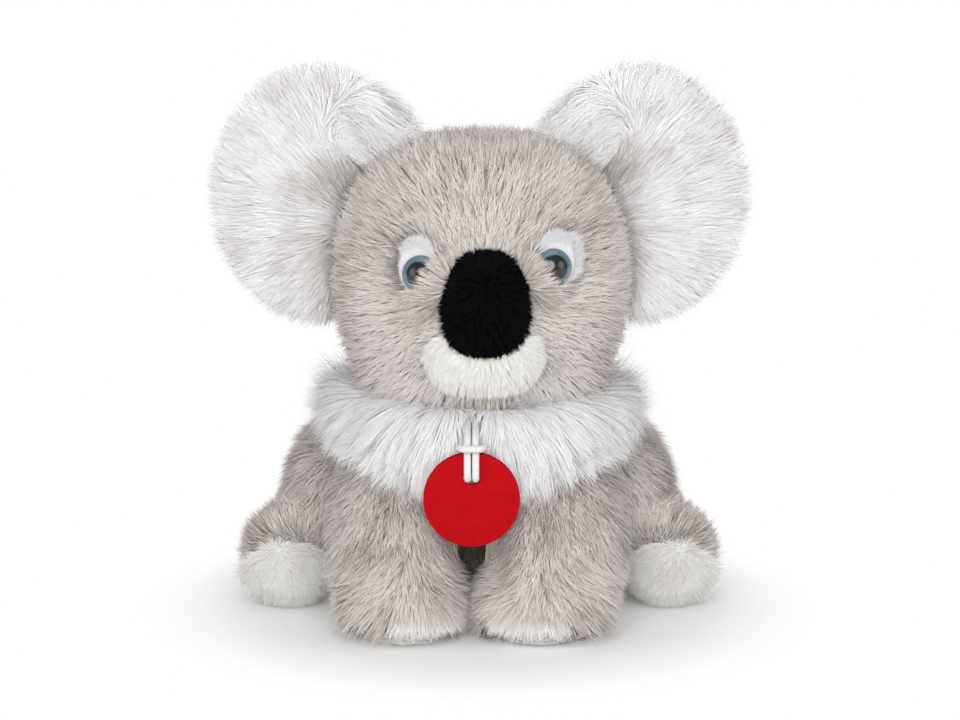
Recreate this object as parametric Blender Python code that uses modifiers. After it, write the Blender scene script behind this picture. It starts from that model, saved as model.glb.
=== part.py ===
"""Sitting plush koala: sewn covers with fillings, cupped ears, safety eyes, a felt tag on a cord.

Metres, +Z up, the face towards -Y and the toy's right paw at -X. The origin is on the flat under the
seat, straight below the axis that the head turns on. A cover is the plush with its pile pressed
down, so its outside is the toy's outer form. Each limb and each ear is cut by the larger piece that
it is sewn to, swept through the limb's own range, so that it stays clear of it while it bends.
"""

import math

import bmesh
import bpy
from mathutils import Matrix, Vector
from mathutils.bvhtree import BVHTree

# Clearances and walls
GAP = 0.0003
COVER_WALL = 0.005
FLAT_DEPTH = 0.0005
CUT_OVERRUN = 0.25
HIDDEN_DETAIL_SHARE = 0.2
WELD_DISTANCE = 0.00001
ONE_WAY_SHARES = (0.0, 0.5, 1.0)
OTHER_WAY_SHARES = (-1.0, -0.5, 0.0)
BOTH_WAYS_SHARES = (-1.0, -0.5, 0.0, 0.5, 1.0)
FORM_SIDES = 10
LIMB_SIDES = 8
FOOT_SIDES = 8

# Torso: a pear that leans forward from the seat to the neck
TORSO_WIDTH = 0.118
TORSO_FRONT = 0.042
TORSO_BACK = 0.072
TORSO_FORM_HEIGHT = 0.122
NECK_HEIGHT = 0.098
# Height, side, depth, half width and half depth of each section, as shares of the torso's box
TORSO_RING_SHARES = (
    (0.0, 0.5, 0.45, 0.42, 0.41),
    (0.05, 0.5, 0.49, 0.46, 0.46),
    (0.24, 0.5, 0.505, 0.5, 0.5),
    (0.46, 0.5, 0.468, 0.48, 0.47),
    (0.66, 0.5, 0.4, 0.39, 0.39),
    (0.86, 0.5, 0.368, 0.29, 0.3),
    (1.0, 0.5, 0.368, 0.18, 0.18),
)

# Head: a round ball, full at the cheeks and the chin, that sits a little ahead of the neck
HEAD_WIDTH = 0.128
HEAD_DEPTH = 0.110
HEAD_HEIGHT = 0.118
HEAD_SINK = 0.006
HEAD_AHEAD = 0.007
HEAD_ASIDE = 0.001
HEAD_RING_SHARES = (
    (0.0, 0.5, 0.49, 0.29, 0.3),
    (0.1, 0.5, 0.475, 0.415, 0.42),
    (0.3, 0.5, 0.48, 0.49, 0.49),
    (0.55, 0.5, 0.5, 0.5, 0.49),
    (0.77, 0.5, 0.51, 0.455, 0.445),
    (0.93, 0.5, 0.51, 0.34, 0.34),
    (1.0, 0.5, 0.51, 0.2, 0.2),
)
NECK_TURN_RANGE = 20

# Forelegs: columns in front of the torso, wider and longer at the paw
FORELEG_WIDTH = {"left": 0.0617, "right": 0.0680}
FORELEG_INNER = {"left": -0.0043, "right": -0.0037}
FORELEG_FRONT = 0.078
FORELEG_BACK = 0.014
FORELEG_HEIGHT = 0.080
# Height, then outwards, depth, half width and half depth, as shares of the leg's box
FORELEG_RING_SHARES = (
    (0.0, 0.435, 0.43, 0.31, 0.27),
    (0.06, 0.445, 0.42, 0.415, 0.385),
    (0.24, 0.465, 0.43, 0.46, 0.425),
    (0.47, 0.5, 0.5, 0.49, 0.39),
    (0.7, 0.51, 0.6, 0.49, 0.36),
    (0.9, 0.52, 0.68, 0.38, 0.28),
    (1.0, 0.53, 0.72, 0.22, 0.17),
)
FORELEG_SPLAY_AXIS_ASIDE = 0.012
FORELEG_SPLAY_AXIS_HEIGHT = 0.078
FORELEG_SPLAY_RANGE = 10
FORE_SOLE_FRONT_RISE = 0.010
FORE_SOLE_BACK_RISE = 0.003

# Hind legs: a round thigh against the torso's side and a foot that points forwards
THIGH_INNER = 0.027
THIGH_OUTER = 0.088
THIGH_FRONT = 0.013
THIGH_BACK = 0.065
THIGH_HEIGHT = 0.083
# Depth, then outwards, height, half width and half height, as shares of the thigh's box
THIGH_RING_SHARES = (
    (0.0, 0.5, 0.48, 0.28, 0.27),
    (0.2, 0.5, 0.49, 0.46, 0.46),
    (0.52, 0.5, 0.5, 0.5, 0.5),
    (0.84, 0.48, 0.49, 0.43, 0.44),
    (1.0, 0.46, 0.48, 0.26, 0.26),
)
FOOT_INNER = 0.058
FOOT_OUTER = 0.105
FOOT_FRONT = 0.0145
FOOT_BACK = 0.034
FOOT_HEIGHT = 0.0445
FOOT_RING_SHARES = (
    (0.0, 0.5, 0.48, 0.36, 0.35),
    (0.2, 0.5, 0.5, 0.49, 0.49),
    (0.68, 0.48, 0.5, 0.48, 0.48),
    (1.0, 0.44, 0.5, 0.3, 0.32),
)
HINDLEG_LIFT_AXIS_DEPTH = 0.026
HINDLEG_LIFT_AXIS_HEIGHT = 0.0415
HINDLEG_LIFT_RANGE = 12
HIND_SOLE_BOTTOM_DEPTH = 0.003
HIND_SOLE_TOP_DEPTH = 0.0120
HIND_SOLE_TOP_HEIGHT = 0.032

# Ears: a cupped disc of plush outside and long white pile inside, sewn to the head along one edge
EAR_WIDTH = 0.092
EAR_HEIGHT = 0.109
EAR_CENTRE_ASIDE = 0.067
EAR_CENTRE_DEPTH = 0.004
EAR_CENTRE_RISE = 0.0838
EAR_LEAN = 5.5
EAR_BOWL_DEPTH = 0.015
EAR_RIM_AHEAD = 0.007
EAR_LINING_THICKNESS = 0.007
EAR_BACK_THICKNESS = 0.005
EAR_RIM_SHARE = 0.4
EAR_ROLL_HEIGHT = 0.011
EAR_ROLL_ASIDE_SHARE = -0.42
EAR_ROLL_RISE_SHARE = 0.62
EAR_ROLL_REACH_SHARE = 0.36
EAR_HOLLOW_DEPTH = 0.004
EAR_HOLLOW_ASIDE_SHARE = -0.3
EAR_SIDES = 10
EAR_RING_SHARES = (0.5, 0.92)
EAR_SPLIT_RING_SHARES = (0.5, 1.0, 1.3, 1.8)
EAR_ROOT_DEPTH = 0.0055
EAR_ROOT_TOP_ASIDE = 0.040
EAR_ROOT_TOP_RISE = 0.109
EAR_ROOT_LOW_ASIDE = 0.069
EAR_ROOT_LOW_RISE = 0.032
EAR_FOLD_RANGE = 15

# Face
FACE_ASIDE = 0.0027
NOSE_WIDTH = 0.037
NOSE_HEIGHT = 0.0440
NOSE_DEPTH = 0.034
NOSE_PROUD = 0.014
NOSE_RISE = 0.0488
# Height, side, depth, half width and half depth, as shares of the nose's box
NOSE_RING_SHARES = (
    (0.0, 0.5, 0.5, 0.29, 0.27),
    (0.22, 0.5, 0.5, 0.47, 0.46),
    (0.5, 0.5, 0.5, 0.5, 0.5),
    (0.84, 0.5, 0.5, 0.37, 0.38),
    (1.0, 0.5, 0.5, 0.2, 0.21),
)
NOSE_SIDES = 8
MUZZLE_WIDTH = 0.056
MUZZLE_HEIGHT = 0.031
MUZZLE_DEPTH = 0.024
MUZZLE_PROUD = 0.006
MUZZLE_RISE = 0.0242
MUZZLE_RING_SHARES = (
    (0.0, 0.5, 0.5, 0.27, 0.27),
    (0.3, 0.5, 0.5, 0.47, 0.46),
    (0.72, 0.5, 0.5, 0.49, 0.49),
    (1.0, 0.5, 0.5, 0.34, 0.34),
)

# Safety eyes: a glossy dome on a stem, a felt backing under it and a lock washer inside the cover
EYE_ASIDE = 0.0033
EYE_SPACING = 0.0532
EYE_RISE = {"left": 0.0598, "right": 0.0622}
EYE_DIAMETER = 0.0158
EYE_DOME_HEIGHT = 0.0062
EYE_RIM = 0.0008
EYE_STEM_DIAMETER = 0.004
EYE_STEM_CLEARANCE = 0.0003
EYE_STEM_END = 0.003
EYE_STEPS = 16
DOME_POINTS = 6
FELT_WIDTH = 0.0175
FELT_HEIGHT = 0.0235
FELT_THICKNESS = 0.0014
FELT_UP = 0.0031
FELT_OUT = 0.0022
WASHER_DIAMETER = 0.013
WASHER_THICKNESS = 0.0016
WASHER_CLEARANCE = 0.0005

# Bib: a thick collar of long white pile round the front of the neck
BIB_SPREAD = 118
BIB_STATIONS = 7
BIB_SIDES = 8
BIB_FRONT_REACH = 0.0548
BIB_SIDE_REACH_SHARE = 0.427
BIB_FRONT_TOP = 0.1030
BIB_SIDE_TOP = 0.1110
BIB_FRONT_DROP = 0.0445
BIB_SIDE_DROP = 0.029
BIB_FRONT_THICKNESS = 0.029
BIB_SIDE_THICKNESS = 0.037
BIB_END_SHARE = 0.5
BIB_TAPER_SHARE = 0.65

# Tag and its cord, tied round the tag's upper edge
TAG_DIAMETER = 0.0403
TAG_THICKNESS = 0.0024
TAG_ASIDE = -0.0031
TAG_FRONT = 0.0735
TAG_DROP = 0.0319
TAG_EDGE_POINTS = 48
TAG_HOLE_BELOW_EDGE = 0.0113
TAG_HOLE_POINTS = 8
CORD_DIAMETER = 0.003
CORD_CLEARANCE = 0.0004
CORD_SPACING = 0.0037
CORD_STEPS = 2
CORD_LEAD_SHARES = (0.0, 0.35, 0.7)
# From the tag's upper edge or its slot: across in half spacings, ahead in steps of the strand's
# distance from the tag's middle, and up in cord diameters
CORD_ROUTE_SHARES = (
    ("edge", 1.0, -0.2, 2.0),
    ("edge", 1.0, 0.95, 0.95),
    ("edge", 1.0, 1.0, -0.5),
    ("slot", 1.0, 1.0, 0.78),
    ("slot", 1.0, 0.82, -0.45),
    ("slot", 1.0, 0.0, -0.76),
    ("slot", 1.0, -0.82, -0.45),
    ("slot", 1.1, -1.0, 0.78),
    ("edge", 2.2, -1.0, -0.7),
    ("edge", 2.9, -0.85, 0.2),
    ("edge", 3.1, -0.1, 0.65),
    ("edge", 3.0, 0.95, 0.85),
    ("edge", 2.1, 2.02, 0.92),
    ("edge", 0.9, 2.26, 0.95),
)
TAG_SWING_RANGE = 25
SWING_AXIS_DROP = 0.0034
CORD_START_CLEARANCE = 0.0011
CORD_CHANNEL_DIAMETER = 0.0088

PLUSH_GREY = (0.60, 0.56, 0.53)
PLUSH_WHITE = (0.86, 0.86, 0.86)
SHORT_WHITE = (0.84, 0.83, 0.81)
NOSE_BLACK = (0.012, 0.010, 0.011)
FILLING_WHITE = (0.90, 0.90, 0.88)
EYE_DARK = (0.02, 0.03, 0.04)
WASHER_WHITE = (0.80, 0.80, 0.78)
TAG_RED = (0.60, 0.012, 0.018)
CORD_WHITE = (0.82, 0.82, 0.80)

SIDES = {"left": -1, "right": 1}


# Scene and materials


def clear_scene():
    for thing in list(bpy.data.objects):
        bpy.data.objects.remove(thing, do_unlink=True)


def new_collection(name):
    made = bpy.data.collections.new(name)
    bpy.context.scene.collection.children.link(made)
    return made


def material(name, colour, roughness, metallic=0.0):
    made = bpy.data.materials.new(name)
    made.use_nodes = True
    shader = made.node_tree.nodes["Principled BSDF"]
    shader.inputs["Base Color"].default_value = (*colour, 1.0)
    shader.inputs["Roughness"].default_value = roughness
    shader.inputs["Metallic"].default_value = metallic
    made.diffuse_color = (*colour, 1.0)
    return made


def link(thing, collection):
    collection.objects.link(thing)
    if collection.name == "Cutters":
        thing.hide_render = True
        thing.display_type = "WIRE"
    return thing


def finish_part(thing, colour, roughness, empty=None):
    """Gives a part its own material and hangs it on the empty of its joint, where it has one."""
    thing.data.materials.clear()
    thing.data.materials.append(material(thing.name, colour, roughness))
    if empty is not None:
        bpy.context.view_layer.update()
        place = empty.matrix_world.inverted()
        thing.parent = empty
        thing.matrix_parent_inverse = place
    return thing


def joint_empty(name, place):
    empty = bpy.data.objects.new(name, None)
    empty.location = place
    empty.empty_display_size = COVER_WALL
    bpy.context.scene.collection.objects.link(empty)
    bpy.context.view_layer.update()
    return empty


# Meshes


def object_from_bmesh(name, bm, collection, smooth=True):
    mesh = bpy.data.meshes.new(name)
    bm.to_mesh(mesh)
    bm.free()
    if smooth:
        mesh.shade_smooth()
    return link(bpy.data.objects.new(name, mesh), collection)


def evaluated_points(thing):
    bpy.context.view_layer.update()
    seen = thing.evaluated_get(bpy.context.evaluated_depsgraph_get())
    mesh = seen.to_mesh()
    points = [thing.matrix_world @ corner.co for corner in mesh.vertices]
    seen.to_mesh_clear()
    return points


def surface_tree(thing):
    bpy.context.view_layer.update()
    return BVHTree.FromObject(thing, bpy.context.evaluated_depsgraph_get())


def subdivide(thing):
    smoother = thing.modifiers.new("Subdivision", "SUBSURF")
    smoother.levels = 1
    smoother.render_levels = 1
    return thing


def triangulate(thing):
    """Splits the bent quads once, so that every Boolean that meets them sees the same flat faces."""
    thing.modifiers.new("Triangulate", "TRIANGULATE")
    return thing


def fit_to_box(thing, low, high, axes=(0, 1, 2)):
    """Moves the cage so that the subdivided surface just fills the box on the given axes."""
    points = evaluated_points(thing)
    for axis in axes:
        least = min(point[axis] for point in points)
        most = max(point[axis] for point in points)
        scale = (high[axis] - low[axis]) / (most - least)
        for corner in thing.data.vertices:
            corner.co[axis] = low[axis] + (corner.co[axis] - least) * scale
    thing.data.update()
    return thing


def ring_form(name, ring_shares, sides, along, low, high, collection):
    """A loft through elliptical sections along an axis, subdivided and fitted to the box low..high."""
    first, second = [axis for axis in range(3) if axis != along]
    bm = bmesh.new()
    rows = []
    for far, first_middle, second_middle, first_half, second_half in ring_shares:
        row = []
        for index in range(sides):
            turn = math.tau * index / sides
            place = Vector()
            place[along] = far
            place[first] = first_middle + first_half * math.cos(turn)
            place[second] = second_middle + second_half * math.sin(turn)
            row.append(bm.verts.new(place))
        rows.append(row)
    for row, after in zip(rows, rows[1:]):
        for index in range(sides):
            beside = (index + 1) % sides
            bm.faces.new((row[index], row[beside], after[beside], after[index]))
    bm.faces.new(rows[0])
    bm.faces.new(rows[-1])
    bmesh.ops.recalc_face_normals(bm, faces=bm.faces)
    form = subdivide(object_from_bmesh(name, bm, collection))
    return fit_to_box(form, low, high)


def grown(form, name, distance, collection, coarse=False):
    """A copy of a form, pushed out along its normals, or drawn in by a negative distance."""
    copy = bpy.data.objects.new(name, form.data.copy())
    copy.data.name = name
    subdivide(copy)
    push = copy.modifiers.new("Offset", "DISPLACE")
    push.mid_level = 0.0
    push.strength = distance
    if coarse:
        fewer = copy.modifiers.new("Hidden surface", "DECIMATE")
        fewer.ratio = HIDDEN_DETAIL_SHARE
    return link(triangulate(copy), collection)


def frozen(thing, name, collection):
    """A plain mesh object with the shape that another object's modifiers give it."""
    bpy.context.view_layer.update()
    seen = thing.evaluated_get(bpy.context.evaluated_depsgraph_get())
    mesh = bpy.data.meshes.new_from_object(seen)
    mesh.name = name
    return link(bpy.data.objects.new(name, mesh), collection)


def hollow_and_filling(form, filling_name, parts, cutters):
    """The cavity inside a cover of this form, and the stuffing, which is that cavity a little smaller."""
    inner = grown(form, f"{form.name}_inner", -COVER_WALL, cutters, coarse=True)
    cavity = frozen(inner, f"{form.name}_cavity", cutters)
    filling = frozen(inner, filling_name, parts)
    corners = [corner.co for corner in filling.data.vertices]
    low = Vector([min(place[axis] for place in corners) for axis in range(3)])
    high = Vector([max(place[axis] for place in corners) for axis in range(3)])
    smaller = 1 - 2 * GAP / min(high - low)
    middle = (low + high) / 2
    shrink = Matrix.Translation(middle) @ Matrix.Scale(smaller, 4) @ Matrix.Translation(-middle)
    filling.data.transform(shrink)
    return cavity, filling


def boolean(thing, cutter, operation="DIFFERENCE"):
    step = thing.modifiers.new(cutter.name, "BOOLEAN")
    step.operation = operation
    step.solver = "EXACT"
    step.object = cutter
    return thing


def half_space(name, point, normal, collection):
    """A big block whose one face passes through the point, with the block on the normal's side."""
    reach = CUT_OVERRUN
    bm = bmesh.new()
    bmesh.ops.create_cube(bm, size=reach)
    turn = Vector(normal).to_track_quat("Z", "Y").to_matrix().to_4x4()
    place = Matrix.Translation(point) @ turn @ Matrix.Translation((0, 0, reach / 2))
    bmesh.ops.transform(bm, matrix=place, verts=bm.verts)
    return object_from_bmesh(name, bm, collection, smooth=False)


def turned_about(point, axis, angle):
    turn = Matrix.Rotation(math.radians(angle), 4, axis)
    return Matrix.Translation(point) @ turn @ Matrix.Translation(-point)


def swept_hull(name, form, point, axis, angles, collection):
    """The convex space that a form takes while it turns about an axis through the given angles."""
    points = evaluated_points(form)
    bm = bmesh.new()
    for angle in angles:
        turn = turned_about(point, axis, angle)
        for place in points:
            bm.verts.new(turn @ place)
    hull = bmesh.ops.convex_hull(bm, input=bm.verts)
    inside = set(hull["geom_interior"] + hull["geom_unused"])
    spare = [thing for thing in inside if isinstance(thing, bmesh.types.BMVert)]
    bmesh.ops.delete(bm, geom=spare, context="VERTS")
    bmesh.ops.recalc_face_normals(bm, faces=bm.faces)
    return object_from_bmesh(name, bm, collection, smooth=False)


def turned_object(name, profile, steps, place, collection):
    """A profile of (radius, height) from the bottom up, turned once round its own Z axis."""
    bm = bmesh.new()
    corners = [bm.verts.new((radius, 0, height)) for radius, height in profile]
    for corner, after in zip(corners, corners[1:]):
        bm.edges.new((corner, after))
    thing = object_from_bmesh(name, bm, collection, smooth=False)
    screw = thing.modifiers.new("Turn", "SCREW")
    screw.steps = steps
    screw.render_steps = steps
    screw.use_merge_vertices = True
    screw.merge_threshold = WELD_DISTANCE
    screw.use_normal_calculate = True
    screw.use_smooth_shade = True
    thing.matrix_world = place
    return thing


# Torso and head


def make_torso(parts, cutters):
    low = Vector((-TORSO_WIDTH / 2, -TORSO_FRONT, -FLAT_DEPTH))
    high = Vector((TORSO_WIDTH / 2, TORSO_BACK, TORSO_FORM_HEIGHT))
    form = ring_form("torso_form", TORSO_RING_SHARES, FORM_SIDES, 2, low, high, cutters)
    floor = half_space("floor_plane", Vector(), Vector((0, 0, -1)), cutters)
    above = half_space("neck_plane_up", Vector((0, 0, NECK_HEIGHT)), Vector((0, 0, 1)), cutters)

    cavity, filling = hollow_and_filling(form, "torso_filling", parts, cutters)
    cover = grown(form, "torso_cover", 0.0, parts)
    boolean(cover, cavity)
    boolean(cover, above)
    boolean(cover, floor)
    finish_part(cover, PLUSH_GREY, 0.95)

    boolean(filling, above)
    finish_part(filling, FILLING_WHITE, 1.0)
    return form, floor, above


def make_head(parts, cutters, empty):
    middle = Vector((HEAD_ASIDE, -HEAD_AHEAD, 0))
    base = NECK_HEIGHT - HEAD_SINK
    low = middle + Vector((-HEAD_WIDTH / 2, -HEAD_DEPTH / 2, base))
    high = middle + Vector((HEAD_WIDTH / 2, HEAD_DEPTH / 2, base + HEAD_HEIGHT))
    form = ring_form("head_form", HEAD_RING_SHARES, FORM_SIDES, 2, low, high, cutters)
    below = half_space("neck_plane_down", Vector((0, 0, NECK_HEIGHT + GAP)), Vector((0, 0, -1)), cutters)

    cavity, filling = hollow_and_filling(form, "head_filling", parts, cutters)
    cover = grown(form, "head_cover", 0.0, parts)
    boolean(cover, cavity)
    boolean(cover, below)
    finish_part(cover, PLUSH_GREY, 0.95, empty)

    boolean(filling, below)
    finish_part(filling, FILLING_WHITE, 1.0, empty)
    return form, cover, filling


# Legs


def make_foreleg(side, parts, cutters, torso_grown, floor, empty):
    sign = SIDES[side]
    inner = FORELEG_INNER[side]
    outer = inner + sign * FORELEG_WIDTH[side]
    low = Vector((min(inner, outer), -FORELEG_FRONT, -FLAT_DEPTH))
    high = Vector((max(inner, outer), -FORELEG_BACK, FORELEG_HEIGHT))
    rings = [
        (far, aside if sign > 0 else 1 - aside, depth, half_width, half_depth)
        for far, aside, depth, half_width, half_depth in FORELEG_RING_SHARES
    ]
    form = ring_form(f"foreleg_form_{side}", rings, LIMB_SIDES, 2, low, high, cutters)
    angles = [sign * FORELEG_SPLAY_RANGE * share for share in ONE_WAY_SHARES]
    hull = swept_hull(
        f"foreleg_seat_{side}", torso_grown, Vector(empty.location), "Y", angles, cutters
    )
    back = Vector((0, -FORELEG_BACK, FORE_SOLE_BACK_RISE))
    front = Vector((0, -FORELEG_FRONT, FORE_SOLE_FRONT_RISE))
    spaces = seam_spaces(f"forepaw_{side}", back, front, cutters)
    make_limb(form, None, hull, floor, spaces, ("foreleg", "forepaw_sole"), side, parts, cutters, empty)
    outwards = [-angle for angle in angles]
    grown_leg = grown(form, f"foreleg_clearance_{side}", GAP, cutters)
    return swept_hull(f"foreleg_reach_{side}", grown_leg, Vector(empty.location), "Y", outwards, cutters)


def make_hindleg(side, parts, cutters, torso_grown, floor, empty):
    sign = SIDES[side]
    forms = []
    for name, shares, inner, outer, front, back, height in (
        ("thigh", THIGH_RING_SHARES, THIGH_INNER, THIGH_OUTER, THIGH_FRONT, THIGH_BACK, THIGH_HEIGHT),
        ("foot", FOOT_RING_SHARES, FOOT_INNER, FOOT_OUTER, FOOT_FRONT, FOOT_BACK, FOOT_HEIGHT),
    ):
        low = Vector((min(sign * inner, sign * outer), -front, -FLAT_DEPTH))
        high = Vector((max(sign * inner, sign * outer), back, height))
        rings = [
            (far, aside if sign > 0 else 1 - aside, rise, half_width, half_height)
            for far, aside, rise, half_width, half_height in shares
        ]
        forms.append(ring_form(f"{name}_form_{side}", rings, FOOT_SIDES, 1, low, high, cutters))
    thigh, foot = forms
    angles = [HINDLEG_LIFT_RANGE * share for share in ONE_WAY_SHARES]
    hull = swept_hull(
        f"hindleg_seat_{side}", torso_grown, Vector(empty.location), "X", angles, cutters
    )
    bottom = Vector((0, HIND_SOLE_BOTTOM_DEPTH, 0))
    top = Vector((0, -HIND_SOLE_TOP_DEPTH, HIND_SOLE_TOP_HEIGHT))
    spaces = seam_spaces(f"hindfoot_{side}", bottom, top, cutters)
    make_limb(thigh, foot, hull, floor, spaces, ("hindleg", "hindfoot_sole"), side, parts, cutters, empty)


def seam_spaces(name, start, end, cutters):
    """The spaces on the sole's side and on the leg's side of the seam that runs from start to end."""
    along = end - start
    sole_side = Vector((0, -along.z, along.y)).normalized()
    sole_space = half_space(f"{name}_sole_space", start - sole_side * GAP / 2, sole_side, cutters)
    leg_space = half_space(f"{name}_leg_space", start + sole_side * GAP / 2, -sole_side, cutters)
    return sole_space, leg_space


def make_limb(form, second, hull, floor, spaces, names, side, parts, cutters, empty):
    """The cover, the white sole sewn into its end, and the filling of a limb of one or two forms."""
    sole_space, leg_space = spaces
    leg_name, sole_name = names
    cavity, filling = hollow_and_filling(form, f"{leg_name}_filling_{side}", parts, cutters)
    shell = grown(form, f"{leg_name}_shell_{side}", 0.0, cutters)
    cavities = [cavity]
    if second is not None:
        cavity, stuffing = hollow_and_filling(second, f"{second.name}_stuffing", cutters, cutters)
        boolean(shell, grown(second, f"{second.name}_outside", 0.0, cutters), "UNION")
        boolean(filling, stuffing, "UNION")
        cavities.append(cavity)
    for cavity in cavities:
        boolean(shell, cavity)
    boolean(shell, hull)
    boolean(shell, floor)
    boolean(filling, hull)
    for name, space, colour in (
        (f"{leg_name}_cover_{side}", sole_space, PLUSH_GREY),
        (f"{sole_name}_{side}", leg_space, SHORT_WHITE),
    ):
        piece = frozen(shell, name, parts)
        boolean(piece, space)
        finish_part(piece, colour, 0.95, empty)
    finish_part(filling, FILLING_WHITE, 1.0, empty)


# Ears


def ear_surface(aside, rise):
    """How far the lining's bowl, and then its roll, are ahead of the rim, at shares of the half sizes."""
    out = min(1.0, math.hypot(aside, rise))
    bowl = EAR_RIM_AHEAD - EAR_BOWL_DEPTH * (1 - out * out)
    roll = math.hypot(aside - EAR_ROLL_ASIDE_SHARE, rise - EAR_ROLL_RISE_SHARE) / EAR_ROLL_REACH_SHARE
    hollow = math.hypot(aside - EAR_HOLLOW_ASIDE_SHARE, rise) / EAR_ROLL_REACH_SHARE
    return bowl, EAR_ROLL_HEIGHT * math.exp(-roll * roll) - EAR_HOLLOW_DEPTH * math.exp(-hollow * hollow)


def ear_cage(rows, name, collection):
    """A closed cage of rows of (ring share, depth function), each run round the ear's ellipse."""
    bm = bmesh.new()
    made = []
    for out, depth in rows:
        row = []
        for index in range(EAR_SIDES):
            turn = math.tau * index / EAR_SIDES
            aside = out * math.cos(turn)
            rise = out * math.sin(turn)
            place = (aside * EAR_WIDTH / 2, -depth(aside, rise), rise * EAR_HEIGHT / 2)
            row.append(bm.verts.new(place))
        made.append(row)
    for row, after in zip(made, made[1:]):
        for index in range(EAR_SIDES):
            beside = (index + 1) % EAR_SIDES
            bm.faces.new((row[index], row[beside], after[beside], after[index]))
    bm.faces.new(made[0])
    bm.faces.new(made[-1])
    bmesh.ops.recalc_face_normals(bm, faces=bm.faces)
    return subdivide(object_from_bmesh(name, bm, collection))


def place_ear(thing, side):
    """Turns an ear's cage from its own frame, where +X is outwards, to its place beside the head."""
    sign = SIDES[side]
    centre = Vector((sign * EAR_CENTRE_ASIDE, EAR_CENTRE_DEPTH, NECK_HEIGHT + EAR_CENTRE_RISE))
    place = Matrix.Translation(centre) @ Matrix.Rotation(math.radians(sign * EAR_LEAN), 4, "Y")
    place = place @ Matrix.Diagonal((sign, 1, 1, 1))
    thing.data.transform(place)
    if sign < 0:
        thing.data.flip_normals()
    return thing


def make_ear(side, parts, cutters, head_grown, empty, axis):
    thickness = EAR_LINING_THICKNESS + EAR_BACK_THICKNESS
    rim_drop = thickness * EAR_RIM_SHARE

    def face(aside, rise):
        bowl, shape = ear_surface(aside, rise)
        return bowl + shape

    def rim(aside, rise):
        return ear_surface(aside, rise)[0] - rim_drop

    def rear(aside, rise):
        return ear_surface(aside, rise)[0] - thickness

    def split_ahead(aside, rise):
        return ear_surface(aside, rise)[0] - EAR_LINING_THICKNESS

    def split_behind(aside, rise):
        return split_ahead(aside, rise) - GAP

    def far_ahead(aside, rise):
        return split_ahead(aside, rise) + CUT_OVERRUN

    def far_behind(aside, rise):
        return split_behind(aside, rise) - CUT_OVERRUN

    rows = [(share, face) for share in EAR_RING_SHARES] + [(1.0, rim)]
    rows += [(share, rear) for share in reversed(EAR_RING_SHARES)]
    form = ear_cage(rows, f"ear_form_{side}", cutters)
    half = Vector((EAR_WIDTH / 2, 0, EAR_HEIGHT / 2))
    fit_to_box(form, -half, half, axes=(0, 2))
    place_ear(form, side)

    spaces = {}
    for label, near, far in (("front", split_behind, far_ahead), ("rear", split_ahead, far_behind)):
        split = [(share, near) for share in EAR_SPLIT_RING_SHARES]
        split += [(share, far) for share in reversed(EAR_SPLIT_RING_SHARES)]
        space = triangulate(ear_cage(split, f"ear_{label}_space_{side}", cutters))
        spaces[label] = place_ear(space, side)

    seats = []
    for label, shares in (("back", OTHER_WAY_SHARES), ("forth", ONE_WAY_SHARES)):
        angles = [EAR_FOLD_RANGE * share for share in shares]
        name = f"ear_seat_{label}_{side}"
        seats.append(swept_hull(name, head_grown, Vector(empty.location), axis, angles, cutters))
    for name, space, colour in (
        (f"ear_lining_{side}", spaces["rear"], PLUSH_WHITE),
        (f"ear_back_{side}", spaces["front"], PLUSH_GREY),
    ):
        layer = grown(form, name, 0.0, parts)
        for cutter in (space, *seats):
            boolean(layer, cutter)
        finish_part(layer, colour, 0.95, empty)
    return form


# Face


def front_point(tree, aside, height):
    """The point of a surface that faces the viewer at a place across and up, and the way it faces."""
    start = Vector((aside, -CUT_OVERRUN, height))
    point, normal, _, _ = tree.ray_cast(start, Vector((0, 1, 0)))
    return point, normal


def make_padded_piece(name, shares, size, proud, place, tree, parts, cutters):
    """A small stuffed form that stands proud of the face, before the face is cut out of it."""
    point, _ = front_point(tree, *place)
    width, depth, height = size
    low = Vector((place[0] - width / 2, point.y - proud, place[1] - height / 2))
    high = Vector((place[0] + width / 2, point.y - proud + depth, place[1] + height / 2))
    form = ring_form(f"{name}_form", shares, NOSE_SIDES, 2, low, high, cutters)
    return form, grown(form, name, 0.0, parts)


def make_face(parts, cutters, head_form, head_grown, empty):
    tree = surface_tree(head_form)
    nose_size = (NOSE_WIDTH, NOSE_DEPTH, NOSE_HEIGHT)
    nose_place = (FACE_ASIDE, NECK_HEIGHT + NOSE_RISE)
    nose_form, nose = make_padded_piece(
        "nose", NOSE_RING_SHARES, nose_size, NOSE_PROUD, nose_place, tree, parts, cutters
    )
    boolean(nose, head_grown)
    finish_part(nose, NOSE_BLACK, 0.9, empty)

    muzzle_size = (MUZZLE_WIDTH, MUZZLE_DEPTH, MUZZLE_HEIGHT)
    muzzle_place = (FACE_ASIDE, NECK_HEIGHT + MUZZLE_RISE)
    _, muzzle = make_padded_piece(
        "muzzle", MUZZLE_RING_SHARES, muzzle_size, MUZZLE_PROUD, muzzle_place, tree, parts, cutters
    )
    boolean(muzzle, head_grown)
    boolean(muzzle, grown(nose_form, "nose_clearance", GAP, cutters))
    finish_part(muzzle, SHORT_WHITE, 0.95, empty)


def eye_frame(tree, side):
    """The eye's place on the head, with its own Z out of the head and its Y upwards."""
    aside = EYE_ASIDE + SIDES[side] * EYE_SPACING / 2
    point, normal = front_point(tree, aside, NECK_HEIGHT + EYE_RISE[side])
    across = Vector((0, 0, 1)).cross(normal).normalized()
    up = normal.cross(across).normalized()
    turn = Matrix((across, up, normal)).transposed().to_4x4()
    return Matrix.Translation(point) @ turn


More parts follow.
